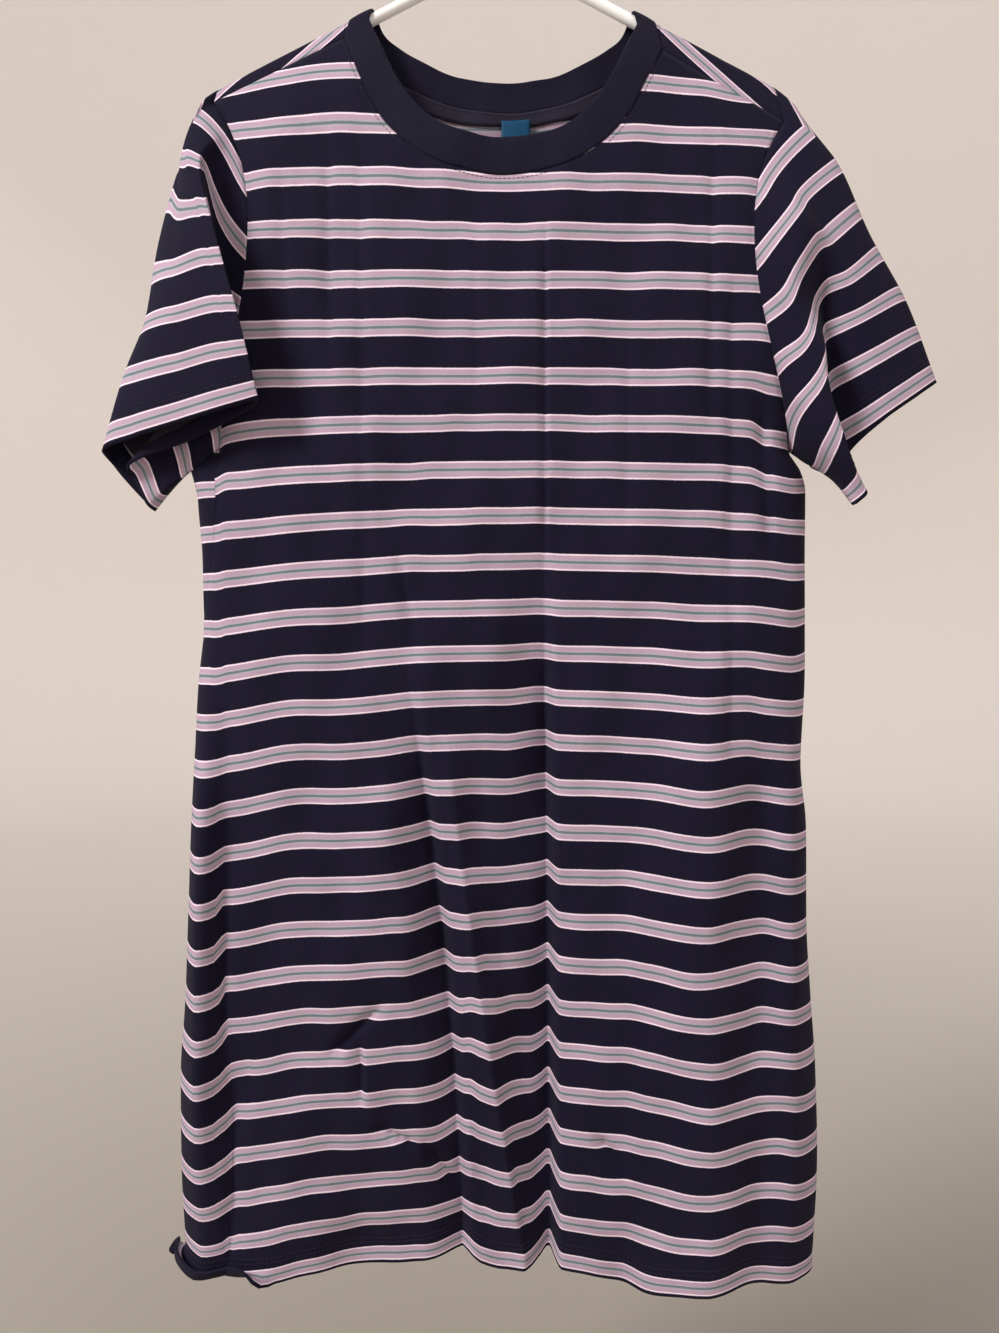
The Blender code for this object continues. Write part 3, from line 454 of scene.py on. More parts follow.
# The front and back panels, as grids of rows from the hem up.
panelSettings = {
    "shoulderSteps": 36,
    "underarmFullness": (-0.440, 0.024, 0.034, 0.018),  # height, span above and below, and reach
    "underarmGather": (0.010, 0.085, 0.070),  # ways from the seam: full at, gone at, and the span between
    # how far the knitted courses hang below the form's own levels, in millimetres: x, then each height's row
    "courseColumns": (
        -0.230, -0.214, -0.2085, -0.2045, -0.2005, -0.1965, -0.190, -0.157, -0.121, -0.085, -0.067, -0.049,
        -0.031, -0.013, 0.005, 0.023, 0.041, 0.068, 0.104, 0.140, 0.175, 0.190, 0.208, 0.226,
    ),
    "courseRows": (
        (-0.189,
         (15, 15, 11, 11, 11, 10, 9, 4, 1, 2, 2, 3, 4, 6, 7, 8, 9, 10, 10, 12, 17, 17, 17, 17)),
        (-0.2195,
         (15, 15, 10, 10, 10, 9, 9, 8, 6, 7, 8, 9, 10, 11, 12, 12, 13, 14, 13, 14, 14, 14, 17, 17)),
        (-0.252,
         (15, 15, 14, 14, 14, 13, 13, 10, 9, 10, 11, 12, 13, 14, 14, 14, 14, 14, 14, 15, 16, 17, 17, 17)),
        (-0.285,
         (15, 15, 15, 15, 15, 14, 14, 13, 12, 13, 13, 14, 14, 15, 15, 15, 15, 15, 15, 16, 17, 17, 17, 17)),
        (-0.300,
         (15, 15, 15, 15, 15, 14, 14, 13, 13, 14, 14, 14, 14, 15, 15, 15, 15, 15, 15, 16, 17, 17, 17, 17)),
        (-0.385,
         (26, 26, 24, 23, 20, 19, 18, 16, 16, 15, 15, 15, 15, 15, 15, 15, 15, 15, 16, 16, 17, 19, 22, 24)),
        (-0.424,
         (26, 26, 24, 23, 22, 21, 20, 17, 16, 15, 15, 15, 14, 14, 14, 14, 14, 15, 15, 16, 18, 24, 25, 25)),
        (-0.457,
         (25, 25, 23, 22, 20, 19, 19, 17, 16, 15, 15, 14, 14, 14, 14, 14, 14, 14, 15, 15, 17, 22, 25, 21)),
        (-0.500,
         (18, 19, 19, 19, 18, 18, 18, 17, 15, 14, 13, 14, 14, 13, 13, 13, 14, 14, 14, 14, 16, 16, 17, 17)),
        (-0.572,
         (14, 14, 15, 15, 14, 14, 14, 13, 14, 12, 12, 12, 12, 12, 12, 12, 14, 13, 13, 14, 13, 14, 15, 10)),
        (-0.640,
         (13, 13, 13, 13, 12, 12, 12, 10, 12, 11, 10, 10, 10, 10, 11, 10, 12, 11, 12, 12, 10, 12, 12, 12)),
        (-0.704,
         (14, 15, 14, 12, 12, 12, 12, 9, 11, 10, 10, 9, 9, 10, 11, 10, 11, 10, 9, 11, 8, 9, 10, 10)),
        (-0.770,
         (16, 17, 16, 10, 10, 10, 10, 8, 10, 9, 10, 9, 10, 8, 8, 9, 10, 9, 6, 8, 7, 7, 9, 9)),
        (-0.819,
         (18, 18, 17, 10, 9, 9, 9, 8, 8, 8, 10, 10, 11, 5, 6, 8, 9, 8, 4, 8, 7, 5, 6, 7)),
        (-0.851,
         (18, 19, 17, 10, 8, 8, 8, 7, 7, 8, 9, 10, 10, 3, 3, 7, 9, 7, 2, 6, 7, 5, 4, 6)),
        (-0.884,
         (19, 19, 17, 13, 10, 9, 9, 7, 7, 7, 9, 10, 8, 4, 3, 7, 8, 5, 0, 6, 8, 5, 3, 5)),
        (-0.917,
         (19, 20, 17, 15, 12, 9, 8, 6, 5, 7, 9, 11, 8, 6, 2, 4, 7, 5, -1, 5, 6, 5, 1, 5)),
        (-0.950,
         (20, 19, 16, 14, 12, 9, 8, 5, 5, 5, 6, 10, 6, 4, 2, 4, 6, 5, -2, 4, 5, 5, 2, 5)),
        (-0.983,
         (18, 16, 14, 13, 12, 10, 9, 5, 6, 4, 5, 8, 8, 3, 2, 4, 5, 5, -2, 5, 4, 5, 2, 6)),
        (-1.016,
         (14, 14, 13, 12, 11, 9, 8, 4, 5, 2, 4, 6, 8, 3, 1, 3, 4, 4, 0, 4, 3, 4, 2, 6)),
        (-1.038,
         (2, 2, 2, 2, 2, 2, 2, 2, 2, 1, 1, 2, 2, 1, 1, 1, 1, 1, 0, 1, 1, 1, 1, 2)),
        (-1.050,
         (0, 0, 0, 0, 0, 0, 0, 0, 0, 0, 0, 0, 0, 0, 0, 0, 0, 0, 0, 0, 0, 0, 0, 0)),
    ),
    "backCourses": (1, 22),  # the columns beside the seams, which the back's courses run straight between
    "backDip": (0.0166, 0.005, 0.13, -0.36, -0.23),  # size, middle, reach, then the levels it grows between
    "frontNeckSteps": 164,
    "backNeckSteps": 88,
    "neckRidgeSteps": 12,
    "armholeSteps": 72,
    "backArmholeSteps": 60,
    "shoulderRidgeSteps": 12,
    "hemRows": 18,
    "hemHeight": 0.022,
    "bodyRows": 118,
    "searchSteps": 2000,
    "thickness": 0.0009,
    "hemTurn": 0.020,
    "hemTurnGap": 0.0011,
    "seamDip": 0.0007,
    "seamSpread": 0.0035,
    "seamStart": 0.001,
    "stitchHeights": (0.0172, 0.0202),
}


def ridgeWays(start, steps):
    return np.linspace(start, quarter, steps + 1)


def backNeckShares():
    fine = np.linspace(0, 0.5, panelSettings["searchSteps"] + 1)
    middle = np.linspace(0, 1, panelSettings["backNeckSteps"] // 2 + 1)[1:]
    halves = []
    for mirror in (False, True):
        way = neckLine("seam", 1 - fine if mirror else fine, 1)[1]
        crossing = np.interp(ridgeWays(way[0], panelSettings["neckRidgeSteps"]), way, fine)
        halves.append(np.concatenate([crossing, crossing[-1] + (0.5 - crossing[-1]) * middle]))
    return np.concatenate([halves[0], 1 - halves[1][-2::-1]])


def armholeShares(hand, side):
    if side < 0:
        return np.linspace(0, 1, panelSettings["armholeSteps"] + 1)
    top = armholeLine(hand, 1.0, side)[1]
    low = armholeLine(hand, 0.0, side)[1]
    crossing = 1 - (ridgeWays(top, panelSettings["shoulderRidgeSteps"])[::-1] - top) / (low - top)
    below = np.linspace(0, crossing[0], panelSettings["backArmholeSteps"] + 1)[:-1]
    return np.concatenate([below, crossing])


def filled(bottom, top, left, right, rows, columns):  # a grid between four lines of points
    rows, columns = rows[:, None, None], columns[None, :, None]
    corners = (
        (1 - rows) * (1 - columns) * bottom[0]
        + (1 - rows) * columns * bottom[-1]
        + rows * (1 - columns) * top[0]
        + rows * columns * top[-1]
    )
    return (
        (1 - rows) * bottom[None]
        + rows * top[None]
        + (1 - columns) * left[:, None]
        + columns * right[:, None]
        - corners
    )


def tubePlaces(level, places, side):
    left = -1 + column(bodyForm["sides"], 3, level)
    right = 1 - column(bodyForm["sides"], 4, level)
    if side > 0:
        left, right = -2 - left, 2 - right
    spread = left + (right - left) * (places + 1) / 2
    return spread if side < 0 else np.where(spread < 0, -2.0, 2.0) - spread


def bodyLevels():
    settings, form = panelSettings, bodyForm
    low = np.linspace(0, settings["hemHeight"], settings["hemRows"] + 1)[:-1]
    high = np.linspace(settings["hemHeight"], form["underarm"] - form["hem"], settings["bodyRows"] + 1)
    return form["hem"] + np.concatenate([low, high])


def courseDrop(x, level, side):
    settings = panelSettings
    heights = np.array([row[0] for row in settings["courseRows"]])[::-1]
    drops = np.array([row[1] for row in settings["courseRows"]], float)[::-1] / 1000
    if side > 0:
        left, right = settings["backCourses"]
        share = np.linspace(0, 1, drops.shape[1])[None]
        drops = drops[:, left : left + 1] * (1 - share) + drops[:, right : right + 1] * share
    across = np.array([curveAt(settings["courseColumns"], row, x) for row in drops])
    place = np.interp(level, heights, np.arange(len(heights)))
    below = np.minimum(place.astype(int), len(heights) - 2)
    part = place - below
    number = np.arange(np.size(x)).reshape(np.shape(x))
    flat = across.reshape(len(heights), -1)
    drop = flat[below, number] * (1 - part) + flat[below + 1, number] * part
    if side > 0:  # the back's courses hang lower in the middle, under the neck
        size, middle, reach, low, high = settings["backDip"]
        drop = drop + size * smooth(1 - np.abs(x - middle) / reach) * smooth((level - low) / (high - low))
    return drop


def rowWays(points):  # way along each row of a grid, from its first point
    steps = np.linalg.norm(np.diff(points, axis=1), axis=-1)
    return np.concatenate([np.zeros((len(points), 1)), np.cumsum(steps, axis=1)], axis=1)


def bodyPanel(side, neckShares):  # middle surface and cloth places, as rows from the hem up
    count = panelSettings["shoulderSteps"]
    outer = 1 - 0.5 * np.linspace(0, 1, count + 1) ** seamLines["shoulderSpread"]
    places = np.concatenate([-outer, neckShares[1:-1] - 0.5, outer[::-1]])
    lower, lowerCloth = [], []
    for level in bodyLevels():
        lower.append(onTube(tubePlaces(level, places, side), np.full(len(places), level)))
        x = onPlainTube(tubePlaces(level, places, side), np.full(len(places), level))[:, 0]
        drop = courseDrop(x, np.full(len(places), level), side)
        lowerCloth.append(np.stack([x * bodyForm["clothWidth"], level - bodyForm["hem"] + drop], axis=-1))
    lower, last = np.array(lower), lower[-1]

    share = np.linspace(0, 1, count + 1)
    leftShoulder = np.stack(shoulderLine(-1, share), axis=-1)
    rightShoulder = np.stack(shoulderLine(1, share[::-1]), axis=-1)
    neck = np.stack(neckLine("seam", neckShares, side), axis=-1)
    top = np.concatenate([leftShoulder[:-1], neck, rightShoulder[1:]])
    leftShare, rightShare = armholeShares(-1, side), armholeShares(1, side)
    leftSide = np.stack(armholeLine(-1, leftShare, side), axis=-1)
    rightSide = np.stack(armholeLine(1, rightShare, side), axis=-1)
    bottom = np.stack([last[:, 0], alongAt(last[:, 0], last[:, 2], side)], axis=-1)
    leftSide = leftSide + (bottom[0] - leftSide[0]) * (1 - leftShare[:, None]) ** 2
    rightSide = rightSide + (bottom[-1] - rightSide[0]) * (1 - rightShare[:, None]) ** 2

    rows = (leftShare + rightShare) / 2
    upper = filled(bottom, top, leftSide, rightSide, rows, (places + 1) / 2)
    x, along = upper[..., 0], upper[..., 1]
    points = onSheath(x, along)
    points = points + (1 - rows[:, None, None]) ** 3 * (last - points[0])
    level = ridgeHeight(x) + quarter - bodyForm["ridgeRadius"] - side * along
    level = level + sag(x, level)
    level = level + courseDrop(x, level, side)
    if side > 0:  # the back is cut longer, to reach over the shoulders
        longer = seamLines["backLength"] + seamLines["backRise"] * (np.abs(x) - seamLines["backRiseFrom"])
        level = level + longer * smooth((level - bodyForm["underarm"]) / seamLines["backRiseSpan"])
    cloth = np.stack([x * bodyForm["clothWidth"], level - bodyForm["hem"]], axis=-1)
    points, cloth = np.concatenate([lower[:-1], points]), np.concatenate([np.array(lowerCloth)[:-1], cloth])
    if side > 0:  # its fullness stands out beside the front under the left arm
        height, above, below, out = panelSettings["underarmFullness"]
        way = rowWays(points)
        up = points[..., 2] - height
        near = smooth((above - up) / above) * smooth((up + below) / below)
        full, gone, span = panelSettings["underarmGather"]
        points[..., 0] -= out * near * smooth(way / full) * smooth((gone - way) / span)
    return points, cloth


def gridNormals(points, closed=False):
    if closed:
        across = np.roll(points, -1, axis=1) - np.roll(points, 1, axis=1)
    else:
        across = np.gradient(points, axis=1)
    return unit(np.cross(np.gradient(points, axis=0), across))


def edgeWays(points):  # way from each point to the nearest of the grid's two sides, along its row
    way = rowWays(points)
    return np.minimum(way, way[:, -1:] - way)


def addPiece(name, points, faces, materials):
    mesh = bpy.data.meshes.new(name)
    mesh.from_pydata(points, [], faces)
    for material in materials:
        mesh.materials.append(material)
    mesh.shade_smooth()
    piece = bpy.data.objects.new(name, mesh)
    bpy.context.scene.collection.objects.link(piece)
    return piece


def ringFaces(start, rings, sides):  # between rings of points that are numbered on from the start
    faces = []
    for ring in range(rings - 1):
        for side in range(sides):
            a, b = start + ring * sides + side, start + ring * sides + (side + 1) % sides
            faces.append((a, b, b + sides, a + sides))
    return faces


def addGrid(name, points, cloth, materials, thickness=None, closed=False, flip=False, rounded=False):
    rows, columns = points.shape[:2]
    spans = columns if closed else columns - 1
    number = np.arange(rows * columns).reshape(rows, columns)
    after = np.roll(number, -1, axis=1)[:, :spans]
    before = number[:, :spans]
    faces = np.stack([before[:-1], after[:-1], after[1:], before[1:]], axis=-1).reshape(-1, 4)
    if flip:
        faces = faces[:, ::-1]
    piece = addPiece(name, points.reshape(-1, 3).tolist(), faces.tolist(), materials)
    layer = piece.data.uv_layers.new(name="cloth")
    flat = cloth.reshape(-1, 2)[faces.reshape(-1)]
    if closed:  # the column that closes the ring carries on from the last one
        wide = (faces.reshape(-1) % columns == 0) & (np.repeat(faces.max(axis=1) % columns == columns - 1, 4))
        step = cloth[0, -1, 0] - cloth[0, -2, 0]
        flat[wide, 0] = cloth[0, -1, 0] + step
    layer.data.foreach_set("uv", flat.astype(np.float32).reshape(-1))
    if thickness:
        shell = piece.modifiers.new("shell", "SOLIDIFY")
        shell.thickness = thickness
        shell.offset = 0.0
        shell.use_even_offset = False
        if len(materials) > 1:
            shell.material_offset = 1
    if rounded:
        finer = piece.modifiers.new("finer", "SUBSURF")
        finer.levels = finer.render_levels = 1
    return piece


def addTube(name, path, clothStep=0.002):
    radius, sides = hangerSettings["tubeRadius"], hangerSettings["sides"]
    ahead = unit(np.gradient(path, axis=0))
    out = np.stack([-ahead[:, 2], ahead[:, 1] * 0, ahead[:, 0]], axis=-1)  # square to the path, in its plane
    angles = np.arange(sides) * 2 * math.pi / sides
    size = radius + hangerSettings["seamHeight"] * (np.abs(np.cos(angles)) > 0.999)  # along both sides
    rings = path[:, None] + out[:, None] * (size * np.cos(angles))[None, :, None]
    rings[..., 1] += (size * np.sin(angles))[None]
    ways = np.arange(len(path)) * clothStep
    cloth = np.stack(np.broadcast_arrays(angles[None] * radius, ways[:, None]), axis=-1)
    return addGrid(name, rings, cloth, [plasticMaterial], closed=True)


def nodeGroup(name, inputs, outputs):
    group = bpy.data.node_groups.new(name, "ShaderNodeTree")
    for label, kind, value in inputs:
        socket = group.interface.new_socket(label, in_out="INPUT", socket_type=kind)
        if value is not None:
            socket.default_value = value
    for label, kind in outputs:
        group.interface.new_socket(label, in_out="OUTPUT", socket_type=kind)
    return group, group.nodes.new("NodeGroupInput"), group.nodes.new("NodeGroupOutput")


def mathNode(tree, operation, first, second=None, third=None):
    node = tree.nodes.new("ShaderNodeMath")
    node.operation = operation
    for number, value in enumerate((first, second, third)):
        if value is None:
            continue
        if isinstance(value, (int, float)):
            node.inputs[number].default_value = value
        else:
            tree.links.new(value, node.inputs[number])
    return node.outputs[0]


def addNoise(tree, place, scale, detail):
    noise = tree.nodes.new("ShaderNodeTexNoise")
    noise.inputs["Scale"].default_value = scale
    noise.inputs["Detail"].default_value = detail
    tree.links.new(place, noise.inputs["Vector"])
    return noise.outputs[0]


def addBump(tree, shader, height, strength, distance):
    bump = tree.nodes.new("ShaderNodeBump")
    bump.inputs["Strength"].default_value = strength
    bump.inputs["Distance"].default_value = distance
    tree.links.new(height, bump.inputs["Height"])
    tree.links.new(bump.outputs[0], shader.inputs["Normal"])


def mixColour(tree, blend, factor, first, second):
    node = tree.nodes.new("ShaderNodeMix")
    node.data_type = "RGBA"
    node.blend_type = blend
    for socket, value in ((node.inputs[0], factor), (node.inputs[6], first), (node.inputs[7], second)):
        if isinstance(value, (int, float, tuple)):
            socket.default_value = value
        else:
            tree.links.new(value, socket)
    return node.outputs[2]


knitSettings = {
    "wale": 0.00115,
    "course": 0.00085,
    "strength": 0.35,
    "bumpDistance": 0.0003,
    "slant": 1.3,
    "loopHeight": 1.4,
    "ribHeight": 0.3,
    "fuzzHeight": 0.5,
    "fuzzScale": 900.0,
    "fuzzDetail": 3.0,
    "patchScale": 60.0,  # slow light and dark patches
    "patchDetail": 4.0,
    "patchShade": 0.22,
    # how much darker the loops' low parts are painted: painted shade between the loops
    "heightShade": 0.16,
    "darkest": 0.78,
}

stripeSettings = {
    "pitch": 0.0332,
    "bodyStart": 0.0090,  # middle of the lowest stripe above the hem
    "navy": (0.0068, 0.0052, 0.0172, 1.0),
    "white": (0.78, 0.64, 0.73, 1.0),
    "pink": (0.42, 0.295, 0.375, 1.0),
    "grey": (0.385, 0.34, 0.395, 1.0),
    "teal": (0.130, 0.172, 0.190, 1.0),
    # distance from the stripe's middle at which each yarn ends
    "tealEnd": 0.0009,
    "greyEnd": 0.0020,
    "pinkEnd": 0.0049,
    "whiteEnd": 0.0060,
    "blur": 0.0002,
    "wobble": 0.0004,
    "wobbleScale": 420.0,
    "wobbleDetail": 2.0,
    "rampScale": 100.0,  # brings distances in metres to the ramp's 0 to 1
    "roughness": 0.9,
    "insideShare": 0.38,  # on the reverse the navy floats show through the pale yarns
    "insideFloats": (0.075, 0.062, 0.085, 1.0),
}


def makeKnitGroup():
    settings = knitSettings
    sizes = [("Wale", "NodeSocketFloat", settings["wale"]), ("Course", "NodeSocketFloat", settings["course"])]
    group, given, made = nodeGroup(
        "knitLoops",
        [("Cloth", "NodeSocketVector", None)] + sizes,
        [("Height", "NodeSocketFloat"), ("Shade", "NodeSocketFloat")],
    )
    parts = group.nodes.new("ShaderNodeSeparateXYZ")
    group.links.new(given.outputs["Cloth"], parts.inputs[0])
    across = mathNode(group, "DIVIDE", parts.outputs[0], given.outputs["Wale"])
    down = mathNode(group, "DIVIDE", parts.outputs[1], given.outputs["Course"])
    waleWave = mathNode(group, "PINGPONG", across, 0.5)
    slant = mathNode(group, "MULTIPLY_ADD", waleWave, settings["slant"], down)
    loop = mathNode(group, "PINGPONG", slant, 0.5)
    rib = mathNode(group, "SINE", mathNode(group, "MULTIPLY", across, 2 * math.pi))
    ribs = mathNode(group, "MULTIPLY", rib, settings["ribHeight"])
    loops = mathNode(group, "MULTIPLY_ADD", loop, settings["loopHeight"], ribs)
    fuzz = addNoise(group, given.outputs["Cloth"], settings["fuzzScale"], settings["fuzzDetail"])
    height = mathNode(group, "MULTIPLY_ADD", fuzz, settings["fuzzHeight"], loops)
    patches = addNoise(group, given.outputs["Cloth"], settings["patchScale"], settings["patchDetail"])
    patchShade = mathNode(group, "MULTIPLY_ADD", patches, settings["patchShade"], settings["darkest"])
    # the loops' low parts are painted darker, as painted shade between the loops, over the yarn's own uneven
    # tone from the patches
    shade = mathNode(group, "MULTIPLY_ADD", height, settings["heightShade"], patchShade)
    group.links.new(height, made.inputs["Height"])
    group.links.new(shade, made.inputs["Shade"])
    return group


def makeStripeGroup():
    settings = stripeSettings
    sizes = [
        ("Start", "NodeSocketFloat", settings["bodyStart"]),
        ("Pitch", "NodeSocketFloat", settings["pitch"]),
    ]
    group, given, made = nodeGroup(
        "yarnStripes",
        [("Cloth", "NodeSocketVector", None)] + sizes,
        [("Color", "NodeSocketColor")],
    )
    parts = group.nodes.new("ShaderNodeSeparateXYZ")
    group.links.new(given.outputs["Cloth"], parts.inputs[0])
    wobble = addNoise(group, given.outputs["Cloth"], settings["wobbleScale"], settings["wobbleDetail"])
    moved = mathNode(group, "MULTIPLY_ADD", wobble, settings["wobble"], parts.outputs[1])
    shifted = mathNode(group, "SUBTRACT", moved, given.outputs["Start"])
    share = mathNode(group, "DIVIDE", shifted, given.outputs["Pitch"])
    centred = mathNode(group, "ADD", share, 0.5)
    away = mathNode(group, "ABSOLUTE", mathNode(group, "SUBTRACT", mathNode(group, "FRACT", centred), 0.5))
    distance = mathNode(group, "MULTIPLY", away, given.outputs["Pitch"])
    scaled = mathNode(group, "MULTIPLY", distance, settings["rampScale"])
    ramp = group.nodes.new("ShaderNodeValToRGB")
    stops = []
    yarns = ("teal", "grey", "pink", "white", "navy")
    for number, end in enumerate(("tealEnd", "greyEnd", "pinkEnd", "whiteEnd")):
        stops.append((settings[end] - settings["blur"], settings[yarns[number]]))
        stops.append((settings[end] + settings["blur"], settings[yarns[number + 1]]))
    ramp.color_ramp.elements.remove(ramp.color_ramp.elements[1])
    for number, (place, colour) in enumerate(stops):
        place = place * settings["rampScale"]
        element = ramp.color_ramp.elements[0] if number == 0 else ramp.color_ramp.elements.new(place)
        element.position = place
        element.color = colour
    group.links.new(scaled, ramp.inputs[0])
    group.links.new(ramp.outputs[0], made.inputs["Color"])
    return group


knitGroup = makeKnitGroup()
stripeGroup = makeStripeGroup()
clothSheen = 0.02


def newMaterial(name, roughness, sheen=0.0, specular=0.12):
    material = bpy.data.materials.new(name)
    material.use_nodes = True
    shader = material.node_tree.nodes["Principled BSDF"]
    shader.inputs["Roughness"].default_value = roughness
    shader.inputs["Sheen Weight"].default_value = sheen
    shader.inputs["Sheen Roughness"].default_value = 0.5
    shader.inputs["Specular IOR Level"].default_value = specular
    return material, material.node_tree, shader


def clothPlace(tree):
    place = tree.nodes.new("ShaderNodeUVMap")
    place.uv_map = "cloth"
    return place.outputs[0]


def knitBump(tree, shader, place, wale, course, strength):
    knit = tree.nodes.new("ShaderNodeGroup")
    knit.node_tree = knitGroup
    knit.inputs["Wale"].default_value = wale
    knit.inputs["Course"].default_value = course
    tree.links.new(place, knit.inputs["Cloth"])
    addBump(tree, shader, knit.outputs["Height"], strength, knitSettings["bumpDistance"])
    return knit.outputs["Shade"]


def makeJersey(name, inside=False):
    settings = stripeSettings
    material, tree, shader = newMaterial(name, settings["roughness"], clothSheen)
    place = clothPlace(tree)
    stripes = tree.nodes.new("ShaderNodeGroup")
    stripes.node_tree = stripeGroup
    stripes.inputs["Start"].default_value = settings["bodyStart"]
    stripes.inputs["Pitch"].default_value = settings["pitch"]
    tree.links.new(place, stripes.inputs["Cloth"])
    colour = stripes.outputs["Color"]
    knit = knitSettings
    shade = knitBump(tree, shader, place, knit["wale"], knit["course"], knit["strength"])
    if inside:
        colour = mixColour(tree, "MIX", settings["insideShare"], colour, settings["insideFloats"])
    colour = mixColour(tree, "MULTIPLY", 1.0, colour, shade)
    tree.links.new(colour, shader.inputs["Base Color"])
    return material


def makePlain(name, colour, roughness, wale, course, strength):
    material, tree, shader = newMaterial(name, roughness, clothSheen)
    shade = knitBump(tree, shader, clothPlace(tree), wale, course, strength)
    tree.links.new(mixColour(tree, "MULTIPLY", 1.0, colour, shade), shader.inputs["Base Color"])
    return material


plasticSettings = {
    "dark": (0.80, 0.79, 0.78, 1.0),
    "light": (0.87, 0.86, 0.85, 1.0),
    "roughness": 0.28,
    "specular": 0.5,
    "coat": 0.25,
    "coatRoughness": 0.12,
    "moldScale": 45.0,
    "moldDetail": 3.0,
    "strength": 0.12,
    "bumpDistance": 0.0004,
}


def makePlastic():
    settings = plasticSettings
    material, tree, shader = newMaterial("whitePlastic", settings["roughness"], specular=settings["specular"])
    shader.inputs["Coat Weight"].default_value = settings["coat"]
    shader.inputs["Coat Roughness"].default_value = settings["coatRoughness"]
    place = tree.nodes.new("ShaderNodeTexCoord")
    noise = addNoise(tree, place.outputs["Object"], settings["moldScale"], settings["moldDetail"])
    colour = mixColour(tree, "MIX", noise, settings["dark"], settings["light"])
    tree.links.new(colour, shader.inputs["Base Color"])
    addBump(tree, shader, noise, settings["strength"], settings["bumpDistance"])
    return material


plainCloths = (
    # name, colour, roughness, width and height of a loop, strength of the bump
    ("navyJersey", stripeSettings["navy"], 0.85, 0.00115, 0.00085, 0.35),
    ("navyRib", stripeSettings["navy"], 0.80, 0.0016, 0.0011, 0.75),
    ("navyTape", (0.016, 0.013, 0.026, 1.0), 0.75, 0.0008, 0.0008, 0.5),
    ("labelBlue", (0.004, 0.052, 0.118, 1.0), 0.5, 0.0004, 0.0004, 0.3),
    ("navyThread", (0.022, 0.018, 0.034, 1.0), 0.6, 0.0006, 0.0003, 0.5),
)

jerseyBody = makeJersey("stripedJersey")
jerseyInside = makeJersey("stripedJerseyInside", inside=True)
navyJersey, ribCloth, tapeCloth, labelCloth, threadMaterial = [makePlain(*cloth) for cloth in plainCloths]
plasticMaterial = makePlastic()
print("materials made")


stitchSettings = {
    "length": 0.0026,
    "gap": 0.0006,
    "radius": 0.00022,
    "sides": 6,
    # share of the stitch's length, then its width and lift there
    "ends": ((0.0, 0.35, -0.6), (0.18, 0.9, 0.1), (0.5, 1.0, 0.35), (0.82, 0.9, 0.1), (1.0, 0.35, -0.6)),
}


def addStitches(name, lines):  # lines are (points, outward normals)
    settings = stitchSettings
    points, faces = [], []
    sides = settings["sides"]
    angles = np.arange(sides) * 2 * math.pi / sides
    for line, normals in lines:
        way = rowWays(line[None])[0]
        pitch = settings["length"] + settings["gap"]
        for number in range(int(way[-1] / pitch)):
            spots = [number * pitch + share * settings["length"] for share, _, _ in settings["ends"]]
            middle = np.stack([np.interp(spots, way, line[:, axis]) for axis in range(3)], axis=-1)
            out = unit(np.stack([np.interp(spots, way, normals[:, axis]) for axis in range(3)], axis=-1))
            across = unit(np.cross(np.gradient(middle, axis=0), out))
            start = len(points)
            for spot, (_, width, lift) in enumerate(settings["ends"]):
                centre = middle[spot] + out[spot] * lift * settings["radius"]
                for angle in angles:
                    spread = across[spot] * math.cos(angle) + out[spot] * math.sin(angle)
                    points.append(centre + spread * width * settings["radius"])
            rings = len(settings["ends"])
            faces.extend(ringFaces(start, rings, sides))
            faces.append(tuple(range(start + sides - 1, start - 1, -1)))
            faces.append(tuple(range(start + (rings - 1) * sides, start + rings * sides)))
    piece = addPiece(name, points, faces, [threadMaterial])
    layer = piece.data.uv_layers.new(name="cloth")
    places = np.array([points[loop.vertex_index] for loop in piece.data.loops])
    layer.data.foreach_set("uv", places[:, [0, 2]].astype(np.float32).reshape(-1))
    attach(piece, "root")
    return piece


def lifted(points, normals, distance):
    return points + normals * distance


def buildPanel(name, node, side, neckShares):
    settings = panelSettings
    points, cloth = bodyPanel(side, neckShares)
    normals = gridNormals(points)
    outward = normals * np.sign(np.sum(normals[len(normals) // 2, :, 1]) * side)
    dip = settings["seamDip"] * np.exp(-((edgeWays(points) / settings["seamSpread"]) ** 2))
    dip = dip * np.minimum(edgeWays(points) / settings["seamStart"], 1.0)
    shaped = points - outward * dip[..., None]
    faceIn = np.sum(normals * outward) > 0  # a grid's faces look against its normals until they are flipped
    panel = addGrid(name, shaped, cloth, [jerseyBody, jerseyInside], settings["thickness"], flip=faceIn)
    levels = bodyLevels() - bodyForm["hem"]
    turnRows = np.arange(len(points)) < np.sum(levels < settings["hemTurn"])
    turn = lifted(shaped[turnRows], outward[turnRows], -settings["hemTurnGap"])
    hemTurn = addGrid(name + "HemTurn", turn, cloth[turnRows], [navyJersey], settings["thickness"],
                      flip=faceIn)
    lines = []
    for height in settings["stitchHeights"]:
        row = np.argmin(np.abs(levels - height))
        keep = slice(2, -2)  # the rows of stitches stop just short of the side seams
        lines.append((lifted(shaped[row], outward[row], settings["thickness"] / 2)[keep], outward[row][keep]))
    thread = addStitches(name + "HemStitches", lines)
    for piece, owner in ((panel, "striped_jersey"), (hemTurn, "striped_jersey")):
        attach(piece, "root")
    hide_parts(node)
    return points


frontShares = np.linspace(0, 1, panelSettings["frontNeckSteps"] + 1)
backShares = backNeckShares()
frontPoints = buildPanel("frontPanel", "front", -1, frontShares)
backPoints = buildPanel("backPanel", "back", 1, backShares)
print("panels made")


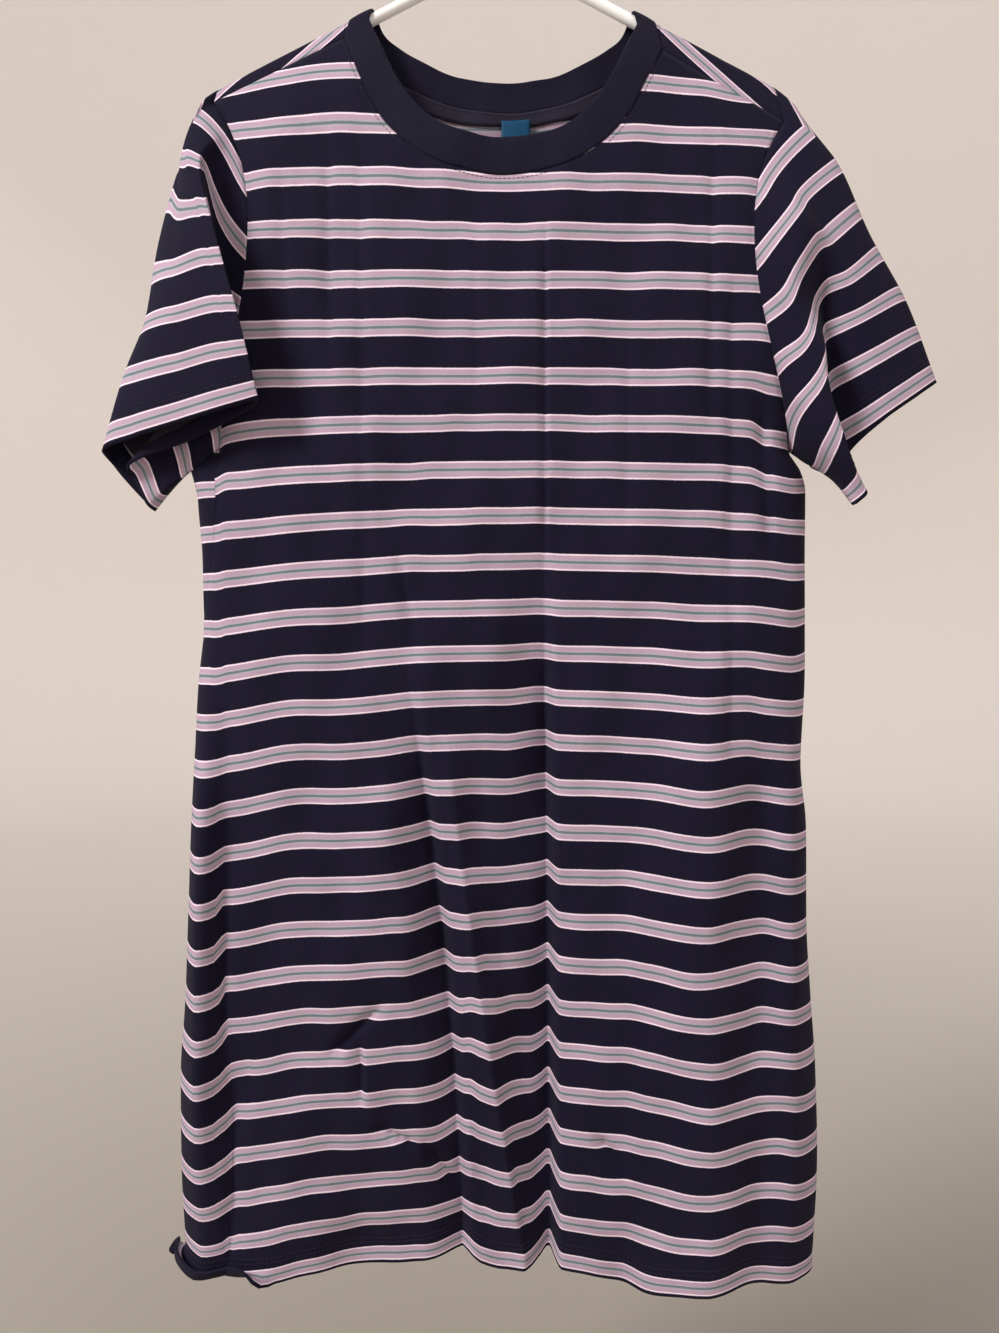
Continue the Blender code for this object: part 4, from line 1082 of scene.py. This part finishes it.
sleeveSettings = {
    "rows": 56,
    "thickness": 0.0009,
    "hemTurn": 0.020,
    "hemTurnGap": 0.0011,
    "meanLength": 0.16,
    "stitchHeights": (0.0180, 0.0210),
    "capOut": 0.006,
    "capLift": 0.005,
    "capSpan": 0.09,
    "capFall": 4.0,
    "capGrowth": 0.05,
    "round": 0.34,
    # share of the way from the shoulder to the underarm, and length from the armhole to the hem
    "lengths": (
        (0.0, 0.225),
        (0.26, 0.212),
        (0.47, 0.1785),
        (0.63, 0.145),
        (0.77, 0.1115),
        (0.94, 0.078),
        (1.0, 0.075),
    ),
    "stations": (0.20, 0.45, 0.70, 1.0),
    # name, place round the ring, and where the cloth is there at each station on its way to the hem
    "rings": {
        -1: (
            ("top", 0.0000,
             (-0.2170, -0.0300, -0.2409), (-0.2023, -0.0440, -0.3002),
             (-0.1908, -0.0475, -0.3538), (-0.1860, -0.0465, -0.4150)),
            ("ridge", 0.0625,
             (-0.2061, -0.0370, -0.2491), (-0.1938, -0.0480, -0.3029),
             (-0.1797, -0.0510, -0.3554), (-0.1680, -0.0475, -0.4100)),
            ("ridgeRear", 0.0940,
             (-0.2073, -0.0280, -0.2487), (-0.1986, -0.0380, -0.3021),
             (-0.1840, -0.0410, -0.3547), (-0.1715, -0.0385, -0.4120)),
            ("front", 0.2400,
             (-0.1989, -0.0190, -0.3273), (-0.2051, -0.0240, -0.3542),
             (-0.2109, -0.0260, -0.3927), (-0.2180, -0.0250, -0.4330)),
            ("valley", 0.3950,
             (-0.2092, -0.0200, -0.3957), (-0.2262, -0.0190, -0.4130),
             (-0.2462, -0.0180, -0.4311), (-0.2700, -0.0175, -0.4545)),
            ("valleyRear", 0.4250,
             (-0.2119, -0.0165, -0.4083), (-0.2287, -0.0140, -0.4241),
             (-0.2461, -0.0125, -0.4388), (-0.2680, -0.0110, -0.4590)),
            ("underarm", 0.5000,
             (-0.2161, -0.0095, -0.4463), (-0.2296, -0.0090, -0.4563),
             (-0.2429, -0.0090, -0.4663), (-0.2590, -0.0085, -0.4790)),
            ("underarmRear", 0.5300,
             (-0.2144, -0.0020, -0.4323), (-0.2267, -0.0010, -0.4480),
             (-0.2403, -0.0010, -0.4633), (-0.2560, -0.0020, -0.4825)),
            ("outerRear", 0.6650,
             (-0.2167, 0.0120, -0.3483), (-0.2443, 0.0090, -0.3665),
             (-0.2677, 0.0020, -0.4012), (-0.2830, -0.0060, -0.4510)),
            ("outer", 0.7050,
             (-0.2195, 0.0130, -0.3235), (-0.2510, 0.0040, -0.3461),
             (-0.2717, -0.0080, -0.3854), (-0.2870, -0.0180, -0.4420)),
            ("side", 0.7800,
             (-0.2325, 0.0020, -0.2672), (-0.2508, -0.0120, -0.3259),
             (-0.2548, -0.0260, -0.3734), (-0.2608, -0.0300, -0.4335)),
            ("flap", 0.8500,
             (-0.2290, -0.0120, -0.2449), (-0.2320, -0.0290, -0.3112),
             (-0.2289, -0.0380, -0.3634), (-0.2350, -0.0360, -0.4270)),
        ),
        1: (
            ("top", 0.0000,
             (0.2323, -0.0120, -0.2387), (0.2588, -0.0150, -0.2901),
             (0.2867, -0.0160, -0.3375), (0.3100, -0.0150, -0.3925)),
            ("outer", 0.1210,
             (0.2094, -0.0270, -0.2719), (0.2400, -0.0260, -0.3143),
             (0.2582, -0.0250, -0.3552), (0.2755, -0.0240, -0.4160)),
            ("crease", 0.1800,
             (0.2077, -0.0360, -0.2907), (0.2321, -0.0210, -0.3244),
             (0.2443, -0.0190, -0.3661), (0.2580, -0.0205, -0.4290)),
            ("lip", 0.2330,
             (0.2015, -0.0360, -0.3236), (0.2269, -0.0140, -0.3383),
             (0.2334, -0.0120, -0.3792), (0.2430, -0.0160, -0.4385)),
            ("valley", 0.3180,
             (0.2066, -0.0380, -0.3640), (0.2200, -0.0470, -0.3817),
             (0.2275, -0.0220, -0.4170), (0.2230, -0.0100, -0.4500)),
            ("fold", 0.4000,
             (0.2066, -0.0360, -0.4003), (0.2231, -0.0480, -0.4135),
             (0.2343, -0.0490, -0.4367), (0.2440, -0.0330, -0.4640)),
            ("ridge", 0.4600,
             (0.2111, -0.0300, -0.4289), (0.2243, -0.0400, -0.4421),
             (0.2382, -0.0450, -0.4545), (0.2535, -0.0410, -0.4735)),
            ("underarm", 0.5000,
             (0.2153, -0.0100, -0.4456), (0.2267, -0.0180, -0.4545),
             (0.2369, -0.0270, -0.4647), (0.2460, -0.0360, -0.4810)),
            ("rear", 0.6200,
             (0.2072, 0.0120, -0.3810), (0.2251, 0.0110, -0.4010),
             (0.2392, 0.0070, -0.4250), (0.2500, 0.0020, -0.4500)),
            ("back", 0.7800,
             (0.2082, 0.0160, -0.2980), (0.2348, 0.0180, -0.3336),
             (0.2618, 0.0160, -0.3736), (0.2850, 0.0120, -0.4130)),
            ("outerRear", 0.9300,
             (0.2287, 0.0060, -0.2333), (0.2609, 0.0070, -0.2867),
             (0.2890, 0.0060, -0.3398), (0.3075, 0.0040, -0.3960)),
        ),
    },
}


def stationRing(hand, station, places):
    rows = sleeveSettings["rings"][hand]
    own = np.array([row[1] for row in rows])
    values = np.array([row[2 + station] for row in rows])
    own = np.concatenate([own[-3:] - 1, own, own[:3] + 1])
    values = np.concatenate([values[-3:], values, values[:3]])
    return np.stack([curveAt(own, values[:, number], places) for number in range(3)], axis=-1)


def ribPoints(rings, shares, wanted):  # a smooth way through the stations' rings, at each wanted share
    flat = np.array(rings).reshape(len(rings), -1)
    return np.array([curveAt(shares, values, wanted) for values in flat.T]).T.reshape(len(wanted), -1, 3)


def buildSleeve(name, node, hand):
    settings = sleeveSettings
    low = len(bodyLevels()) - 1
    edge = 0 if hand < 0 else -1
    frontLine, backLine = frontPoints[low:, edge], backPoints[low:, edge]
    start = np.concatenate([frontLine[::-1], backLine[1:-1]])
    frontPlaces = 0.5 * (1 - armholeShares(hand, -1)[::-1])
    backPlaces = 0.5 + 0.5 * armholeShares(hand, 1)[1:-1]
    places = np.concatenate([frontPlaces, backPlaces])
    stations = [start] + [stationRing(hand, number, places) for number in range(len(settings["stations"]))]
    shares = np.linspace(0, 1, settings["rows"] + 1)
    middle = ribPoints(stations, (0.0,) + settings["stations"], shares)
    nearTop = np.minimum(places, 1 - places)
    length = column(settings["lengths"], 1, 2 * nearTop)
    rings, cloth = [], []
    for share, ring in zip(shares, middle):
        growth = min(share / settings["capGrowth"], 1.0)
        fall = math.exp(-settings["capFall"] * share)
        cap = np.exp(-((nearTop / settings["capSpan"]) ** 2)) * growth * fall
        ring[:, 0] += hand * settings["capOut"] * cap
        ring[:, 2] += settings["capLift"] * cap
        rings.append(ring)
        cloth.append(np.stack([places * settings["round"], (1 - share) * length], axis=-1))
    rings, cloth = np.array(rings), np.array(cloth)
    normals = gridNormals(rings, closed=True)
    centre = rings.mean(axis=1, keepdims=True)
    sign = np.sign(np.sum(normals * (rings - centre)))
    outward = normals * sign
    sleeve = addGrid(name, rings, cloth, [jerseyBody, jerseyInside], settings["thickness"],
                     closed=True, flip=sign > 0)
    turnRows = shares > 1 - settings["hemTurn"] / settings["meanLength"]
    hemTurn = addGrid(name + "HemTurn", lifted(rings[turnRows], outward[turnRows], -settings["hemTurnGap"]),
                      cloth[turnRows], [navyJersey], settings["thickness"], closed=True, flip=sign > 0)
    lines = []
    for height in settings["stitchHeights"]:
        share = np.clip(1 - height / length, 0, 1) * settings["rows"]
        below = np.minimum(share.astype(int), settings["rows"] - 1)
        part = (share - below)[:, None]
        index = np.arange(len(places))
        line = rings[below, index] * (1 - part) + rings[below + 1, index] * part
        out = unit(outward[below, index] * (1 - part) + outward[below + 1, index] * part)
        line = np.concatenate([line, line[:1]])
        out = np.concatenate([out, out[:1]])
        lines.append((lifted(line, out, settings["thickness"] / 2), out))
    thread = addStitches(name + "HemStitches", lines)
    for piece in (sleeve, hemTurn):
        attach(piece, "root")
    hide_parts(node)


buildSleeve("sleeveLeft", "sleeve_left", -1)
buildSleeve("sleeveRight", "sleeve_right", 1)
print("sleeves made")


bandSettings = {
    "rows": 12,
    "thickness": 0.0018,
    "roll": 0.0006,
    "rollPower": 0.7,
    "stitchAway": 0.0022,
    "stitchLift": 0.0005,
}


def neckRing(line, frontSteps, backSteps):
    ring = []
    for side, shares in ((-1, frontSteps), (1, backSteps[-2:0:-1])):
        ring.append(np.stack(neckLine(line, shares, side), axis=-1))
    return np.concatenate(ring)


def buildNeckband():
    settings = bandSettings
    seam = neckRing("seam", frontShares, backShares)
    edge = neckRing("edge", frontShares, backShares)
    shares = np.linspace(0, 1, settings["rows"] + 1)
    places = seam[None] + (edge - seam)[None] * shares[:, None, None]
    points, normals = clothAt(places)
    roll = settings["roll"] * np.sin(math.pi * shares).clip(0) ** settings["rollPower"]
    lift = (settings["thickness"] - panelSettings["thickness"]) / 2 + roll
    points = points + normals * lift[:, None, None]
    across = np.linalg.norm(points - points[:1], axis=-1)
    cloth = np.stack([np.broadcast_to(rowWays(points[:1])[0], across.shape), across], axis=-1)
    band = addGrid("neckbandRib", points, cloth, [ribCloth], settings["thickness"], closed=True, rounded=True)
    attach(band, "root")
    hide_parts("neckband")

    lines = []
    for side, steps in ((-1, frontShares), (1, backShares)):
        line = np.stack(neckLine("seam", steps, side), axis=-1)
        ahead = unit(np.gradient(line, axis=0))
        away = np.stack([ahead[:, 1], -ahead[:, 0]], axis=-1)
        away = away * np.sign(np.sum(away[:, 1] * side))
        line = line + away * settings["stitchAway"]
        spots, normals = clothAt(line)
        lines.append((lifted(spots, normals, settings["stitchLift"]), normals))
    thread = addStitches("neckStitches", lines)


tapeSettings = {
    "start": 0.14,
    "height": 0.009,
    "steps": 90,
    "rows": 4,
    "thickness": 0.001,
    "under": 0.0011,  # from the back panel's middle surface to the tape
    "belowSeam": 0.0005,
    "stitchHeights": (0.0020, 0.0080),
    "stitchLift": 0.0001,
}
labelSettings = {
    "x": 0.009,
    "width": 0.0208,
    "height": 0.032,
    "thickness": 0.0005,
    "lift": 0.0022,  # its top edge, above the tape's lower one
    "stand": 0.0028,  # its distance from the tape
    "curl": 0.0012,
    "bow": 0.0005,
    "steps": 10,
    "rows": 16,
}


def insideBack(places, thickness):
    points, normals = clothAt(places)
    return points - normals * (tapeSettings["under"] + thickness / 2), normals


def belowBackNeck(share, distance, step=0.002):
    line, ahead, behind = (np.stack(neckLine("seam", share + way, 1), axis=-1) for way in (0.0, step, -step))
    across = unit(ahead - behind)
    return line + distance * np.stack([-across[:, 1], across[:, 0]], axis=-1)


def buildTape():
    settings = tapeSettings
    share = np.linspace(settings["start"], 1 - settings["start"], settings["steps"] + 1)
    heights = settings["belowSeam"] + settings["height"] * np.linspace(0, 1, settings["rows"] + 1)
    places = np.array([belowBackNeck(share, height) for height in heights])
    points, _ = insideBack(places, settings["thickness"])
    cloth = np.stack(np.broadcast_arrays(places[0, :, 0][None], heights[:, None]), axis=-1)
    tape = addGrid("neckTape", points, cloth, [tapeCloth], settings["thickness"])
    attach(tape, "root")
    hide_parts("neck_tape")
    lines = []
    for height in settings["stitchHeights"]:
        line = belowBackNeck(share, height)
        inner, out = insideBack(line, settings["thickness"])
        lines.append((lifted(inner, out, -settings["thickness"] / 2 - settings["stitchLift"]), -out))
    thread = addStitches("tapeStitches", lines)


def buildLabel():
    settings = labelSettings
    x = settings["x"] + settings["width"] * np.linspace(-0.5, 0.5, settings["steps"] + 1)
    near = seamLines["neck"][4]  # the seam's row beside the middle: its share and its x
    share = 0.5 + (0.5 - near[0]) * x / near[1]
    top = neckLine("seam", share, 1)[1] + tapeSettings["height"] - settings["lift"]
    downs = np.linspace(0, 1, settings["rows"] + 1)
    places = np.array([np.stack([x, top + down * settings["height"]], axis=-1) for down in downs])
    points, normals = insideBack(places, tapeSettings["thickness"])
    bow = settings["bow"] * np.sin(math.pi * np.linspace(0, 1, len(x)))
    stand = settings["stand"] + settings["curl"] * downs[:, None] ** 3 + bow[None]
    points = points - normals[-1, 0] * stand[..., None]  # it hangs flat, square to one way
    label = addGrid("neckLabel", points, places, [labelCloth], settings["thickness"])
    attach(label, "root")
    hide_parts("label")


buildNeckband()
buildTape()
buildLabel()
print("neck made")


def roundedCorner(before, corner, after, radius):
    into = (corner - before) / np.linalg.norm(corner - before)
    out = (after - corner) / np.linalg.norm(after - corner)
    turn = math.acos(np.clip(np.dot(into, out), -1, 1))
    bend = math.copysign(1.0, into[0] * out[1] - into[1] * out[0])
    across = np.array([-into[1], into[0]]) * bend
    first = corner - into * radius * math.tan(turn / 2)
    angles = np.linspace(0, turn, hangerSettings["cornerSteps"] + 1)[:, None]
    return first + radius * (into * np.sin(angles) + across * (1 - np.cos(angles)))


def inPlane(path):
    return np.stack([path[:, 0], path[:, 0] * 0, path[:, 1]], axis=-1)


def buildHanger():
    settings = hangerSettings
    reach, bar = settings["armReach"], settings["barHeight"]
    end = -settings["apexDrop"] - settings["armSlope"] * reach
    apex = (0.0, -settings["apexDrop"])
    corners = np.array([apex, (reach, end), (reach, bar), (-reach, bar), (-reach, end)])
    corners[:, 1] -= settings["armTilt"] * corners[:, 0]
    loop = []
    for number, radius in enumerate(settings["cornerRadii"]):
        loop.append(roundedCorner(corners[number - 1], corners[number], corners[(number + 1) % 5], radius))
    path = np.concatenate(loop + [loop[0][:1]])
    frameTube = addTube("hangerFrame", inPlane(path))

    radius = settings["hookRadius"] + settings["tubeRadius"]
    angles = np.linspace(settings["hookOpenAngle"], settings["hookTurnAngle"], settings["hookSteps"] + 1)
    angles = np.radians(angles)
    arc = np.stack([radius * np.cos(angles), radius * np.sin(angles) - settings["hookRadius"]], axis=-1)
    heading = math.radians(settings["hookTurnAngle"] + 90)
    neckRadius = -arc[-1, 0] / (math.sin(heading) + 1)
    turns = np.linspace(heading, math.radians(270), settings["stemSteps"] + 1)[1:]
    neckX = arc[-1, 0] + neckRadius * (math.sin(heading) - np.sin(turns))
    neckZ = arc[-1, 1] + neckRadius * (np.cos(turns) - math.cos(heading))
    foot = (0.0, -settings["apexDrop"] - settings["stemOverlap"])
    path = np.concatenate([arc, np.stack([neckX, neckZ], axis=-1), [foot]])
    hook = addTube("hangerHook", inPlane(path))
    tip = addTip(path)
    for piece in (frameTube, hook, tip):
        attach(piece, "root")
    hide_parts("hanger")


def addTip(path):  # the hook's rounded end
    settings = hangerSettings
    sides, rings = settings["sides"], settings["tipRings"]
    centre = np.array([path[0, 0], 0.0, path[0, 1]])
    back = unit(np.array([path[0, 0] - path[1, 0], 0.0, path[0, 1] - path[1, 1]]))
    out = np.array([-back[2], 0.0, back[0]])
    points = []
    for ring in range(rings):
        lean = math.pi / 2 * ring / rings
        for number in range(sides):
            angle = number * 2 * math.pi / sides
            spread = out * math.cos(angle) + np.array([0.0, 1.0, 0.0]) * math.sin(angle)
            points.append(centre + settings["tubeRadius"] * (back * math.sin(lean) + spread * math.cos(lean)))
    points.append(centre + settings["tubeRadius"] * back)
    faces = ringFaces(0, rings, sides)
    last = (rings - 1) * sides
    for number in range(sides):
        faces.append((last + number, last + (number + 1) % sides, len(points) - 1))
    return addPiece("hangerTip", points, faces, [plasticMaterial])


buildHanger()
print("hanger made")


stageSettings = {
    "floor": -1.42,
    "radius": 4.6,
    "corner": 1.3,
    "height": 3.6,
    "steps": 96,
    "floorSteps": 8,
    "cornerSteps": 14,
    "centre": 0.001,
    "roughness": 0.9,
    # near is painted shade, darkest on the floor under the dress; far is the backdrop's own pale colour
    "near": (0.25, 0.22, 0.19, 1.0),
    "far": (0.88, 0.815, 0.775, 1.0),
    "growth": (0.3, 6.0),  # distances from the floor's middle over which the near colour, painted shade under the dress, turns into the pale far one
    "worldColour": (1.0, 0.99, 0.98, 1.0),
    "worldStrength": 0.45,
}
lightSettings = (
    # name, place, aim, size, power, colour
    ("key", (-2.5, -1.9, 1.7), (0.0, 0.0, -0.35), 1.1, 165.0, (1.0, 0.99, 0.98)),
    ("fill", (2.4, -2.4, 1.4), (0.0, 0.0, -0.5), 2.2, 26.0, (1.0, 0.99, 0.98)),
    ("rear", (0.6, 3.0, 2.0), (0.0, 0.0, -0.5), 2.2, 70.0, (1.0, 1.0, 0.99)),
)


def addStage():
    settings = stageSettings
    flat = np.linspace(0.0, settings["radius"] - settings["corner"], settings["floorSteps"])
    profile = [(radius, settings["floor"]) for radius in flat]
    for angle in np.linspace(0, math.pi / 2, settings["cornerSteps"])[1:]:
        radius = settings["radius"] - settings["corner"] * (1 - math.sin(angle))
        profile.append((radius, settings["floor"] + settings["corner"] * (1 - math.cos(angle))))
    profile.append((settings["radius"], settings["height"]))
    turns = np.arange(settings["steps"]) * 2 * math.pi / settings["steps"]
    rings = np.array([[(r * math.cos(a), r * math.sin(a), z) for a in turns] for r, z in profile])
    rings[0, :, :2] += np.stack([np.cos(turns), np.sin(turns)], axis=-1) * settings["centre"]
    # the backdrop's colour is painted shade: darker towards the middle of the floor under the dress, pale
    # further out
    material, tree, shader = newMaterial("backdropPaintedShade", settings["roughness"])
    place = tree.nodes.new("ShaderNodeTexCoord")
    away = tree.nodes.new("ShaderNodeVectorMath")
    away.operation = "DISTANCE"
    away.inputs[1].default_value = (0.0, 0.0, settings["floor"])
    tree.links.new(place.outputs["Object"], away.inputs[0])
    fade = tree.nodes.new("ShaderNodeMapRange")
    fade.inputs["From Min"].default_value, fade.inputs["From Max"].default_value = settings["growth"]
    tree.links.new(away.outputs["Value"], fade.inputs["Value"])
    colour = mixColour(tree, "MIX", fade.outputs[0], settings["near"], settings["far"])
    tree.links.new(colour, shader.inputs["Base Color"])
    floor = addGrid("backdrop", rings, rings[..., :2], [material], closed=True, flip=True)


def addLights():
    for name, place, aim, size, power, colour in lightSettings:
        light = bpy.data.lights.new(name, "AREA")
        light.shape = "DISK"
        light.size = size
        light.energy = power
        light.color = colour
        holder = bpy.data.objects.new(name, light)
        holder.location = place
        way = np.array(aim) - np.array(place)
        turn = math.atan2(way[0], -way[1])
        lean = math.atan2(math.hypot(way[0], way[1]), -way[2])
        holder.rotation_euler = (lean, 0.0, turn + math.pi)
        holder.visible_camera = False
        bpy.context.scene.collection.objects.link(holder)
    world = bpy.data.worlds.new("studio")
    world.use_nodes = True
    background = world.node_tree.nodes["Background"]
    background.inputs[0].default_value = stageSettings["worldColour"]
    background.inputs[1].default_value = stageSettings["worldStrength"]
    bpy.context.scene.world = world
    bpy.context.scene.view_settings.view_transform = "Standard"
    bpy.context.scene.view_settings.look = "None"


addStage()
addLights()
print("stage made")
